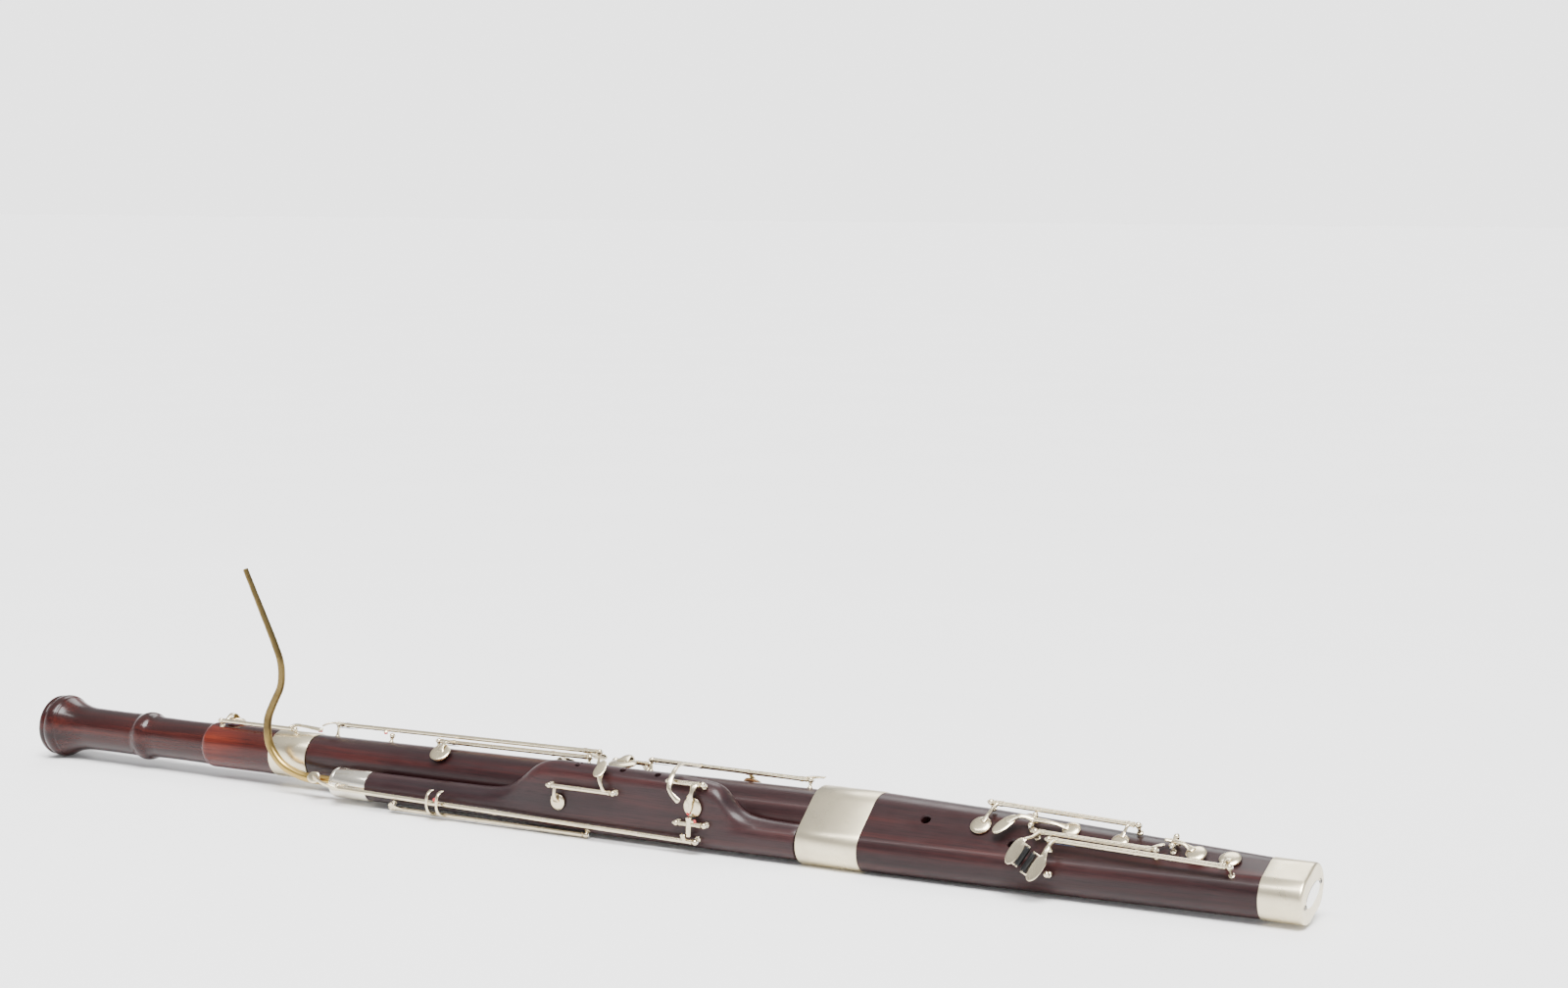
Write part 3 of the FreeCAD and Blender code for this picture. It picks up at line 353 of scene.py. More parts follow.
def make_materials():
    """Every material of the instrument by slot name."""
    made = {slot: rosewood(*look) for slot, look in WOODS.items()}
    made.update({slot: worn_metal(*look) for slot, look in METALS.items()})
    made.update({slot: plain_rough(slot, *look) for slot, look in PLAIN.items()})
    made["pad_leather"] = leather()
    made["cork"] = cork()
    made["thread_lapping"] = lapping_thread()
    made["red_felt"] = felt()
    return made


def leather():
    s = Shader("tan_leather")
    grain = s.noise(s.coords, 1500.0, 4.0, 0.65)
    stain = s.noise(s.coords, 160.0, 3.0, 0.6)
    colour = s.ramp(stain, [(0.3, (0.30, 0.11, 0.035)), (0.6, (0.55, 0.25, 0.09)),
                            (0.85, (0.66, 0.38, 0.17))])
    s.bump(grain, 0.5, 0.0001)
    return s.put(Base_Color=colour, Roughness=0.62, Sheen_Weight=0.15)


def cork():
    s = Shader("cork")
    cells = s.node("ShaderNodeTexVoronoi")
    s.link(s.coords, cells.inputs["Vector"])
    cells.inputs["Scale"].default_value = 700.0
    colour = s.ramp(cells.outputs["Distance"], [(0.1, (0.52, 0.33, 0.17)), (0.7, (0.30, 0.16, 0.07))])
    s.bump(cells.outputs["Distance"], 0.6, 0.0002)
    return s.put(Base_Color=colour, Roughness=0.85)


def lapping_thread():
    s = Shader("lapping_thread")
    turns = s.node("ShaderNodeTexWave", wave_type="BANDS", bands_direction="X")
    s.link(s.coords, turns.inputs["Vector"])
    turns.inputs["Scale"].default_value = 420.0
    turns.inputs["Distortion"].default_value = 0.6
    colour = s.ramp(turns.outputs["Fac"], [(0.1, (0.03, 0.004, 0.004)), (0.7, (0.12, 0.016, 0.013))])
    s.bump(turns.outputs["Fac"], 0.8, 0.0003)
    return s.put(Base_Color=colour, Roughness=0.7)


def felt():
    s = Shader("red_felt")
    fuzz = s.noise(s.coords, 2600.0, 5.0, 0.7)
    colour = s.ramp(fuzz, [(0.3, (0.30, 0.010, 0.012)), (0.7, (0.62, 0.035, 0.035))])
    s.bump(fuzz, 0.7, 0.0002)
    return s.put(Base_Color=colour, Roughness=0.9, Sheen_Weight=0.4)


def plain_rough(name, dark, light, rough, scale):
    s = Shader(name)
    speck = s.noise(s.coords, scale, 4.0, 0.6)
    s.bump(speck, 0.15, 0.0001)
    return s.put(Base_Color=s.ramp(speck, [(0.3, dark), (0.75, light)]), Specular_IOR_Level=0.25,
                 Roughness=s.ramp(speck, [(0.3, rough), (0.8, min(rough + 0.15, 1.0))]))


MATERIALS = make_materials()
SLOT_OF = {entry["node"]: entry["material_slot"] for entry in frame["record"]["subparts"]}


def dress_cad_nodes():
    """Give every carried-over CAD node the material of its slot."""
    for name, node in frame["nodes"].items():
        node.data.materials.clear()
        node.data.materials.append(MATERIALS[SLOT_OF[name]])


dress_cad_nodes()

# ---------------------------------------------------------------- mesh helpers

class Shape:
    """Vertices and faces of one piece, gathered from several closed surfaces."""

    def __init__(self):
        self.verts = []
        self.faces = []

    def rings(self, rings):
        """Closed surface through rings of equal length, capped at both ends."""
        base = len(self.verts)
        count = len(rings[0])
        for ring in rings:
            self.verts.extend(ring)
        for k in range(len(rings) - 1):
            low = base + k * count
            for i in range(count):
                j = (i + 1) % count
                self.faces.append((low + i, low + j, low + count + j, low + count + i))
        last = base + (len(rings) - 1) * count
        self.faces.append(tuple(base + i for i in reversed(range(count))))
        self.faces.append(tuple(last + i for i in range(count)))

    def join_ends(self, count):
        """Drop the end caps of a surface that fills the shape and join its last ring to its first."""
        last = len(self.verts) - count
        self.faces = [face for face in self.faces if len(face) <= 4]
        self.faces.extend((last + i, last + (i + 1) % count, (i + 1) % count, i) for i in range(count))

    def lathe(self, origin, axis, profile, segments=32):
        """Surface of revolution; profile is [(along, radius), ...] in millimetres."""
        way = V(axis).normalized()
        side = way.orthogonal().normalized()
        up = way.cross(side)
        rings = []
        for along, radius in profile:
            middle = origin + way * (along * MM)
            rings.append([middle + (side * cos(2 * pi * i / segments) + up * sin(2 * pi * i / segments))
                          * (max(radius, 0.02) * MM) for i in range(segments)])
        self.rings(rings)

    def sweep(self, points, sizes, hint, around=14, steps=7):
        """Flattened bar along a smooth line; sizes are (width, thickness) spread along it."""
        line = smooth_line(points, steps)
        total = len(line) - 1
        normal = V(hint).normalized()
        rings = []
        for k, point in enumerate(line):
            tangent = (line[min(k + 1, total)] - line[max(k - 1, 0)]).normalized()
            normal = (normal - tangent * normal.dot(tangent)).normalized()
            side = tangent.cross(normal)
            width, thick = size_along(sizes, k / total)
            rings.append(flat_ring(point, side, normal, width, thick, around))
        tangent_in = (line[1] - line[0]).normalized()
        tangent_out = (line[-1] - line[-2]).normalized()
        rings.insert(0, shrunk(rings[0], line[0] - tangent_in * (sizes[0][1] * 0.3 * MM), 0.6))
        rings.append(shrunk(rings[-1], line[-1] + tangent_out * (sizes[-1][1] * 0.3 * MM), 0.6))
        self.rings(rings)

    def piece(self, name, body, material, slot, replaced=(), sharp=38.0):
        """Turn the gathered surfaces into one smooth-shaded piece that rides on its body."""
        mesh = bpy.data.meshes.new(name)
        mesh.from_pydata([tuple(v) for v in self.verts], [], self.faces)
        made = bpy.data.objects.new(name, mesh)
        bpy.context.scene.collection.objects.link(made)
        tidy_normals(mesh, sharp)
        mesh.materials.append(MATERIALS[material])
        if body:
            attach(made, body)
        if replaced:
            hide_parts(*replaced)
        return made


def tidy_normals(mesh, sharp):
    work = bmesh.new()
    work.from_mesh(mesh)
    bmesh.ops.recalc_face_normals(work, faces=work.faces)
    work.to_mesh(mesh)
    work.free()
    mesh.shade_smooth()
    mesh.set_sharp_from_angle(angle=radians(sharp))


def smooth_line(points, steps):
    """Quadratic curve that starts and ends on the end points and rounds every corner."""
    if len(points) == 2:
        return [points[0].lerp(points[1], k / steps) for k in range(steps + 1)]
    line = [points[0]]
    start = points[0]
    for k in range(1, len(points) - 1):
        end = points[k + 1] if k == len(points) - 2 else (points[k] + points[k + 1]) / 2
        for step in range(1, steps + 1):
            t = step / steps
            line.append(start * (1 - t) ** 2 + points[k] * (2 * t * (1 - t)) + end * t ** 2)
        start = end
    return line


def size_along(sizes, part):
    """Width and thickness at a part of the way along, eased between the given sizes."""
    place = part * (len(sizes) - 1)
    k = min(int(place), len(sizes) - 2)
    t = place - k
    t = t * t * (3 - 2 * t)
    return tuple(a + (b - a) * t for a, b in zip(sizes[k], sizes[k + 1]))


def flat_ring(centre, side, normal, width, thick, around):
    """Rounded rectangle outline, wide along side and thin along normal."""
    ring = []
    for i in range(around):
        turn = 2 * pi * i / around
        c, s = cos(turn), sin(turn)
        x = abs(c) ** 0.75 * (1 if c > 0 else -1) * width / 2
        y = abs(s) ** 0.75 * (1 if s > 0 else -1) * thick / 2
        ring.append(centre + side * (x * MM) + normal * (y * MM))
    return ring


def shrunk(ring, centre, amount):
    middle = sum(ring, V((0, 0, 0))) / len(ring)
    return [centre + (v - middle) * amount for v in ring]


def arc(first, middle, last, count):
    """Points of the arc through three (u, r) points, without the first one."""
    ax, ay = first
    bx, by = middle
    cx, cy = last
    d = 2 * (ax * (by - cy) + bx * (cy - ay) + cx * (ay - by))
    a, b, c = ax * ax + ay * ay, bx * bx + by * by, cx * cx + cy * cy
    ox = (a * (by - cy) + b * (cy - ay) + c * (ay - by)) / d
    oy = (a * (cx - bx) + b * (ax - cx) + c * (bx - ax)) / d
    radius = sqrt((ax - ox) ** 2 + (ay - oy) ** 2)
    start = atan2(ay - oy, ax - ox)
    to_middle = (atan2(by - oy, bx - ox) - start) % (2 * pi)
    to_last = (atan2(cy - oy, cx - ox) - start) % (2 * pi)
    if to_middle > to_last:
        to_last -= 2 * pi
    return [(ox + radius * cos(start + to_last * k / count), oy + radius * sin(start + to_last * k / count))
            for k in range(1, count + 1)]


def outline(start, steps, count=10):
    """Turned outline with arcs; a step is (end,) or (middle, end)."""
    points = [start]
    for step in steps:
        if len(step) == 1:
            points.append(step[0])
        else:
            points.extend(arc(points[-1], step[0], step[1], count))
    return points


def cut(made, cutters, sharp=32.0):
    """Boolean difference of a piece with cutter objects, applied to its mesh."""
    for cutter in cutters:
        modifier = made.modifiers.new("cut", "BOOLEAN")
        modifier.object = cutter
        modifier.operation = "DIFFERENCE"
        modifier.solver = "EXACT"
    graph = bpy.context.evaluated_depsgraph_get()
    mesh = bpy.data.meshes.new_from_object(made.evaluated_get(graph))
    made.modifiers.clear()
    made.data = mesh
    mesh.shade_smooth()
    mesh.set_sharp_from_angle(angle=radians(sharp))
    for cutter in cutters:
        bpy.data.objects.remove(cutter)


def cutter_bar(p, q, radius, radius_end=None, segments=40):
    """Round cutter between two points in metres."""
    shape = Shape()
    length = (q - p).length / MM
    shape.lathe(p, q - p, [(0.0, radius), (length, radius_end or radius)], segments)
    return shape.piece("cutter", None, "bore_dark", None)


# ---------------------------------------------------------------- bell

def make_bell_wood():
    """The bell from its mouth, bead and rings to the socket of the long joint."""
    turned = outline((0.0, 17.2), [
        ((0.3, 22.0),), ((0.0, 25.6),), ((2.0, 28.7), (7.0, 29.7)), ((8.2, 29.0), (9.4, 29.9)),
        ((14.5, 31.0), (19.6, 29.6)), ((20.8, 28.6), (22.4, 28.3)), ((36.0, 23.4), (57.0, 21.1)),
        ((85.0, 20.9), (112.0, 20.95)), ((114.6, 21.0), (117.0, 21.6)), ((124.8, 23.8), (132.6, 21.3)),
        ((138.0, 20.4), (145.0, 20.15)), ((175.0, 20.0), (206.5, 20.35)),
        ((208.8, 21.5), (214.0, BELL_SOCKET_R)), ((BELL_FERRULE_U, BELL_SOCKET_R),),
        ((BELL_FERRULE_U, 21.0),), ((BELL_END_U, 21.0),),
        ((BELL_END_U, 18.2),), ((294.0, 18.2),), ((294.0, BELL_BORE_R),), ((60.0, 17.0),), ((6.0, 17.0),),
        ((1.5, 17.1),)])
    shape = Shape()
    shape.lathe(at(0, 0, 0), ALONG, turned, 128)
    shape.join_ends(128)
    shape.piece("bell_wood", "bell", "bell_wood", "bell_wood", ["bell_body"], 25.0)


def make_ferrules():
    """The bell and wing ferrules with rolled edges."""
    shape = Shape()
    shape.lathe(at(BELL_FERRULE_U, 0, 0), ALONG, [
        (0.0, 21.1), (0.0, 22.0), (0.25, 22.45), (0.7, BELL_FERRULE_R), (44.0, BELL_FERRULE_R),
        (44.35, 22.45), (44.5, 22.1), (44.5, 21.1)], 128)
    shape.piece("bell_ferrule_ring", "bell", "ferrule_metal", "ferrule_metal", ["bell_ferrule"])
    shape = Shape()
    length = WING_FERRULE_END_U - WING_TOP_U
    shape.lathe(at(WING_TOP_U, WING_Y, WING_Z), ALONG, [
        (0.0, WING_BORE_R), (0.0, 12.3), (0.2, 13.2), (0.8, 13.9), (1.6, WING_FERRULE_R),
        (3.6, WING_FERRULE_R), (3.9, 14.05), (4.2, WING_FERRULE_R), (length - 0.5, WING_FERRULE_R),
        (length - 0.15, 14.1), (length, 13.8), (length, 12.6), (3.0, 12.6), (3.0, WING_BORE_R)], 96)
    shape.join_ends(96)
    shape.piece("wing_top_ferrule", "wing_joint", "wing_ferrule_metal", "ferrule_metal", ["wing_ferrule"])


# ---------------------------------------------------------------- wooden joints

def egg_ring(u, y1, z1, r1, y2, z2, r2, around):
    """Outline around two circles at station u, evenly spread."""
    span = sqrt((y2 - y1) ** 2 + (z2 - z1) ** 2)
    ey, ez = (y2 - y1) / span, (z2 - z1) / span
    lean = asin(max(-1.0, min(1.0, (r1 - r2) / span)))
    half = around // 2
    ring = []
    for i in range(around):
        first = i < half
        y, z, r = (y2, z2, r2) if first else (y1, z1, r1)
        front = pi / 2 - lean
        if first:
            angle = -front + 2 * front * (i / (half - 1))
        else:
            angle = front + 2 * (pi - front) * ((i - half) / (half - 1))
        c, s = cos(angle), sin(angle)
        ring.append(at(u, y + r * (ey * c - ez * s), z + r * (ez * c + ey * s)))
    return ring


def make_long_wood():
    """The long joint with a tenon at each end."""
    shape = Shape()
    shape.lathe(at(0, 0, 0), ALONG, [
        (297.0, BELL_BORE_R), (297.0, UPPER_TENON_R), (335.4, UPPER_TENON_R), (335.4, 21.1), (335.9, 21.6),
        (336.8, 21.72),
        (500.0, 23.12), (700.0, 24.82), (881.6, 26.36), (882.8, 26.3), (883.6, 25.6),
        (883.6, LOWER_TENON_R), (924.0, LOWER_TENON_R), (924.0, LONG_FOOT_BORE_R)], 128)
    made = shape.piece("long_joint_wood", "long_joint", "rosewood", "rosewood", ["long_body"])
    cutters = [seat_cutter(*SEATS[key]) for key in ("low_b", "low_c", "low_d")]
    cutters.append(cutter_bar(at(290, 0, 0), at(930, 0, 0), BELL_BORE_R, LONG_FOOT_BORE_R, 64))
    cut(made, cutters)


def seat_cutter(centre, normal, radius):
    """Shallow flat seat under a pad."""
    return cutter_bar(centre - normal * (0.6 * MM), centre + normal * (6.0 * MM), radius + 1.2, None, 48)


# The top of the wing joint over its stations, measured like z.
WING_STATIONS = (426.0, 470.0, 520.0, 556.0, 572.0, 584.0, 594.0, 603.0, 612.0, 622.0, 634.0, 650.0, 700.0,
                 750.0, 782.0, 794.0, 802.0, 808.0, 813.0, 818.0, 824.0, 832.0, 844.0, 862.0, 881.2)
WING_TOPS = (1.1, 1.2, 1.5, 2.0, 3.6, 7.4, 13.5, 20.8, 27.8, 32.6, 34.6, 35.0, 34.7,
             33.9, 32.6, 31.4, 29.4, 25.2, 19.2, 13.6, 9.2, 6.0, 4.3, 3.4, 3.0)


def wing_ring(u, top, around=96):
    """Section of the wing joint from its bore circle up to a crest at the height top."""
    r = wing_radius(u)
    crest = min(WING_CREST_R, r - 0.35)
    rise = max(top - WING_Z - crest, r - crest + 0.05)
    lean = WING_CREST_LEAN * rise / WING_CREST_RISE
    return egg_ring(u, WING_Y, WING_Z, r, WING_Y + lean, WING_Z + rise, crest, around)


def eased(value, stations, values):
    """Smooth interpolation whose slope follows the neighbouring points."""
    for k in range(len(stations) - 1):
        if value <= stations[k + 1]:
            break
    gap = stations[k + 1] - stations[k]
    t = (value - stations[k]) / gap
    slopes = []
    for j in (k, k + 1):
        low, high = max(j - 1, 0), min(j + 1, len(stations) - 1)
        slopes.append((values[high] - values[low]) / (stations[high] - stations[low]) * gap)
    return ((2 * t ** 3 - 3 * t ** 2 + 1) * values[k] + (t ** 3 - 2 * t ** 2 + t) * slopes[0]
            + (3 * t ** 2 - 2 * t ** 3) * values[k + 1] + (t ** 3 - t ** 2) * slopes[1])


def make_wing_wood():
    """The wing joint with its three finger holes, the seats of two pads, and its tenon."""
    shape = Shape()
    rings = []
    u = WING_FERRULE_END_U
    while u < WING_END_U:
        rings.append(wing_ring(u, eased(u, WING_STATIONS, WING_TOPS)))
        steep = 566 <= u <= 640 or 776 <= u <= 850
        u += 2.0 if steep else 6.0
    rings.append(wing_ring(WING_END_U - 0.2, WING_TOPS[-1]))
    foot = wing_ring(WING_END_U + 0.3, WING_TOPS[-1])
    rings.append(shrunk(foot, sum(foot, V((0, 0, 0))) / len(foot), 0.97))
    shape.rings(rings)
    made = shape.piece("wing_joint_wood", "wing_joint", "wing_wood", "rosewood", ["wing_body"])
    cutters = [cutter_bar(at(420, 0, 0), at(BOOT_TOP_U, 0, 0), 22.9, 27.2, 128)]
    for u in WING_HOLES:
        top, bottom = at(u, -41.5, 34.0), at(u, WING_Y, WING_Z)
        cutters.append(cutter_bar(top, top.lerp(bottom, 0.6), WING_HOLE_R))
        way = (top - bottom).normalized()
        face = at(u, WING_Y + WING_CREST_LEAN, WING_Z + WING_CREST_RISE) + way * (12.0 * MM)
        cutters.append(cutter_bar(face, face + way * (3.2 * MM), 2.2, 5.2))
    cutters.extend(seat_cutter(*SEATS[key]) for key in ("g", "transfer"))
    cut(made, cutters)
    tenon = Shape()
    tenon.lathe(at(880.0, WING_Y, WING_Z), ALONG,
                [(0.0, WING_TENON_R), (36.0, WING_TENON_R), (36.0, WING_BORE_R), (0.0, WING_BORE_R)], 64)
    tenon.piece("wing_tenon", "wing_joint", "bore_dark", "rosewood")


def boot_ring(u, inset, around=112):
    return egg_ring(u, *boot_circles(u, inset), around)


def make_boot_wood():
    """The boot with its two sockets, two finger holes and the seats of its pads."""
    shape = Shape()
    rings = [boot_ring(BOOT_TOP_U + 1.0, 1.8), boot_ring(BOOT_FERRULE_END_U - 0.1, 1.8),
             boot_ring(BOOT_FERRULE_END_U, WOOD_INSET)]
    u = BOOT_FERRULE_END_U + 8.0
    while u < CAP_U - 1.0:
        rings.append(boot_ring(u, WOOD_INSET))
        u += 10.0
    rings.append(boot_ring(CAP_U - 0.1, WOOD_INSET))
    rings.append(boot_ring(CAP_U, 1.7))
    rings.append(boot_ring(CAP_U + 10.0, 1.7))
    shape.rings(rings)
    made = shape.piece("boot_wood", "boot", "rosewood", "rosewood", ["boot_body"])
    cutters = [cutter_bar(at(883.0, 0, 0), at(926.0, 0, 0), LONG_SOCKET_R, None, 96),
               cutter_bar(at(883.0, WING_Y, WING_Z), at(918.0, WING_Y, WING_Z), WING_SOCKET_R, None, 64)]
    for u, across in BOOT_HOLES:
        cutters.append(cutter_bar(boot_face(u, across, 4.0), boot_face(u, across + 2.0, -16.0), BOOT_HOLE_R))
        sink = boot_face(u, across, -boot_drop(across) - 1.4)
        cutters.append(cutter_bar(sink, sink + boot_axes(u)[1] * (3.4 * MM), 3.4, 6.8))
    cutters.extend(seat_cutter(*SEATS[key]) for key in ("a", "c", "b", "d", "e", "thumb"))
    cut(made, cutters)


def boot_drop(across):
    """How far the round face has fallen below the flat of the finger face."""
    return 0.0 if across < 17.0 else 0.35


# ---------------------------------------------------------------- key work helpers

def leaning(tilt):
    """Outward direction tilted from straight up towards the far side by minus tilt degrees."""
    return V((0, -sin(radians(tilt)), cos(radians(tilt))))


def round_seat(u, tilt, radius, y=0.0, z=0.0, surface=None):
    """Seat on a round surface about (y, z); the surface is the long joint's unless its radius is given."""
    n = leaning(tilt)
    r = surface or long_radius(u)
    return at(u, y + n.y * r, z + n.z * r), n, radius


def boot_seat(u, across, radius):
    return boot_face(u, across, 0.0), boot_axes(u)[1], radius


SEATS = {
    "bell": round_seat(229, -14, 9.0, 0.0, 0.0, BELL_SOCKET_R),
    "low_b": round_seat(489, 34, 9.6), "low_c": round_seat(681, 5, 12.5), "low_d": round_seat(805, -42, 9.0),
    "g": (at(643.5, WING_FACE_Y, 0.6), NEAR, 7.0), "transfer": (at(783.5, WING_FACE_Y, 11.0), NEAR, 8.4),
    "a": boot_seat(1046.0, 6.0, 8.6), "c": boot_seat(1168.0, 2.4, 7.0), "b": boot_seat(1124.0, -2.6, 7.4),
    "d": boot_seat(1234.5, 7.4, 8.2), "e": boot_seat(1262.0, 6.0, 8.6),
    "thumb": round_seat(1074.0, -52, 8.0, *boot_circles(1074.0, WOOD_INSET)[:3]),
}
BODY_OF = {"bell": "bell", "long": "long_joint", "wing": "wing_joint", "boot": "boot"}
POSTS, RODS, SPRINGS = ({joint: Shape() for joint in BODY_OF} for kind in range(3))
FELTS = {}


def ball_post(shape, centre, outward, height, rod_way=None):
    """Turned post: stepped foot, waisted stem and ball, with a bush each side where a rod passes."""
    foot = centre - outward * (height * MM)
    waist = max(height - 3.4, 1.6)
    profile = [(-1.2, 2.7), (0.25, 2.75), (0.55, 2.6), (0.75, 2.1), (1.0, 1.75),
               (1.0 + (waist - 1.0) * 0.5, 1.32), (waist, 1.4), (waist + 0.3, 1.75), (waist + 0.7, 1.8),
               (waist + 0.95, 1.55)]
    start = -asin(0.62)
    for k in range(10):
        turn = start + (pi / 2 - start) * k / 9
        profile.append((height + BALL_R * sin(turn), BALL_R * cos(turn)))
    shape.lathe(foot, outward, profile, 24)
    if rod_way:
        for side in (-1, 1):
            shape.lathe(centre + rod_way * (side * 2.2 * MM), rod_way * side,
                        [(0.0, 1.5), (0.55, 1.5), (0.75, 1.25)], 16)


def hinge(joint, a, b, head_a, head_b, spring=True):
    """Posts, rod and needle spring; a head is (outward direction, height)."""
    way = (b - a).normalized()
    ball_post(POSTS[joint], a, *head_a, way)
    ball_post(POSTS[joint], b, *head_b, way)
    length = (b - a).length / MM
    RODS[joint].lathe(a - way * (3.4 * MM), way,
                      [(0.0, 1.0), (0.25, ROD_R), (length + 6.4, ROD_R), (length + 6.7, 1.0)], 16)
    if spring:
        drop = head_a[0] * (-(TUBE_R + 0.9) * MM)
        reach = min(22.0, 0.45 * length)
        SPRINGS[joint].lathe(a + drop + way * (1.4 * MM), way,
                             [(0.0, 0.32), (reach * 0.7, 0.3), (reach, 0.12)], 8)


def over_cup(top, seat, source):
    """Two last points of an arm that comes from source and lies flat on the edge of a cup."""
    n, radius = seat[1], seat[2]
    way = source - top
    way = (way - n * way.dot(n)).normalized()
    return [top + (way * (radius * 0.98) + n * 0.5) * MM, top + (way * (radius * 0.30) + n * 0.25) * MM]


def spatula(shape, centre, normal, long_way, length, width, thick=1.8, taper=0.12, dish=0.5):
    """Rounded touch plate, slightly dished, standing on its centre along the normal."""
    n = V(normal).normalized()
    way = (V(long_way) - n * V(long_way).dot(n)).normalized()
    side = n.cross(way)
    rings = []
    count = 15
    for k in range(count):
        t = -cos(pi * (k + 0.35) / (count - 0.3))
        breadth = width * (max(1 - abs(t) ** 2.4, 0.0) ** 0.5) * (1 + taper * t)
        depth = thick * (0.55 + 0.45 * max(1 - t ** 4, 0.0) ** 0.5)
        middle = centre + way * (t * length / 2 * MM) + n * ((thick / 2 + dish * t * t) * MM)
        rings.append(flat_ring(middle, side, n, max(breadth, 0.8), depth, 20))
    shape.rings(rings)


def felt_pad(body, centre, normal, radius, height):
    shape = FELTS.setdefault(body, Shape())
    shape.lathe(centre, normal, [(0.0, 0.0), (0.0, radius), (height, radius), (height + 0.1, radius - 0.3),
                                 (height + 0.1, 0.0)], 20)


def post_on(y, z, surface, cy=0.0, cz=0.0):
    """Outward direction at (y, z) from the line through (cy, cz), and the height above its round surface."""
    distance = sqrt((y - cy) ** 2 + (z - cz) ** 2)
    return V((0, (y - cy) / distance, (z - cz) / distance)), distance - surface


class Key:
    """The metal and the pads of one key on its hinge tube."""

    def __init__(self, joint, a, b, head_a, head_b, knots=(), spring=True):
        hinge(joint, a, b, head_a, head_b, spring)
        self.metal = Shape()
        self.pads = Shape()
        self.tube(a, b, knots)

    def tube(self, a, b, knots):
        """Hinge tube between two posts with a collar at each end and at the knots."""
        way = (b - a).normalized()
        start = a + way * ((BALL_R + END_GAP) * MM)
        length = (b - a).length / MM - 2 * (BALL_R + END_GAP)
        profile = [(0.0, 1.4), (0.0, 2.2), (0.25, 2.4), (1.5, 2.4), (1.8, TUBE_R)]
        for knot in knots:
            profile += [(knot - 1.8, TUBE_R), (knot - 1.4, 2.5), (knot + 1.4, 2.5), (knot + 1.8, TUBE_R)]
        profile += [(length - 1.8, TUBE_R), (length - 1.5, 2.4), (length - 0.25, 2.4), (length, 2.2),
                    (length, 1.4)]
        self.metal.lathe(start, way, profile, 24)

    def cup(self, seat, lift=0.0, domed=True):
        """Key cup and its pad on a seat; returns the top of the cup."""
        centre, n, radius = seat
        base = centre + n * ((SEAT_GAP + lift - 0.6) * MM)
        if domed:
            crown = [(3.0, radius * 0.94), (3.5, radius * 0.80), (3.85, radius * 0.6), (4.1, radius * 0.3),
                     (4.15, 0.0)]
        else:
            crown = [(2.75, radius * 0.95), (2.95, radius * 0.86), (3.1, radius * 0.5), (3.15, 0.0)]
        rim = [(1.35, radius - 1.0), (1.35, radius + 0.05), (1.45, radius + 0.35), (2.3, radius + 0.4)]
        self.metal.lathe(base, n, rim + crown, 48)
        self.pads.lathe(base, n, [
            (0.02, 0.0), (0.02, radius * 0.4), (0.10, radius * 0.44), (0.02, radius * 0.5),
            (0.05, radius - 1.2), (0.3, radius - 0.35), (0.8, radius - 0.02), (1.35, radius + 0.02),
            (1.6, radius - 0.5), (1.6, 0.0)], 48)
        return base + n * ((PAD_H + (CUP_H if domed else 1.1)) * MM)

    def arm(self, points, sizes, hint=UP, end=()):
        """Bar through (u, y, z) points and then through the frame points of end."""
        self.metal.sweep([at(*p) for p in points] + list(end), sizes, hint)

    def boot_arm(self, points, sizes, end=()):
        """Bar through (u, across, height) points on the boot's face and then the frame points of end."""
        self.metal.sweep([boot_face(*p) for p in points] + list(end), sizes, boot_axes(points[0][0])[1])

    def touch(self, *plate):
        spatula(self.metal, *plate)

    def finish(self, name, body, node, pad_node=None):
        self.metal.piece(name + "_metal", body, "nickel_silver", "nickel_silver", [node])
        if pad_node:
            self.pads.piece(name + "_metal_pad_leather", body, "pad_leather", "pad_leather", [pad_node])


# ---------------------------------------------------------------- bell and long joint keys

FAR_ARM = [(4.0, 3.2), (4.4, 2.2), (5.0, 2.0)]


def long_key(y, start, end, knots=()):
    """Key on two posts of the long joint, each given as (u, z)."""
    ends = [at(u, y, z) for u, z in (start, end)]
    heads = [post_on(y, z, long_radius(u)) for u, z in (start, end)]
    return Key("long", *ends, *heads, knots)


def make_bell_key():
    y, z = -8.0, 26.3
    key = Key("bell", at(222, y, z), at(313, y, z), post_on(y, z, BELL_SOCKET_R),
              post_on(y, z, BELL_FERRULE_R))
    top = key.cup(SEATS["bell"], 2.6) + SEATS["bell"][1] * (0.2 * MM)
    key.arm([(229, y, z), (229, -3.5, 31.4), (229, 4.0, 32.6)],
            [(4.2, 3.6), (5.0, 2.2), (6.5, 1.8), (9.0, 1.0)], -UP, [top])
    key.arm([(305, y, z), (308, -3.0, 29.7), (317, -2.5, 29.4), (330, -2.5, 28.4), (341, -2.5, 27.4)],
            [(3.4, 3.4), (3.6, 2.4), (4.6, 1.8), (6.0, 1.4)])
    key.finish("bell_key", "bell_key", "bell_key", "bell_key_pad")
    felt_pad("bell_key", at(339.5, -2.5, 25.5), UP, 2.2, 1.4)


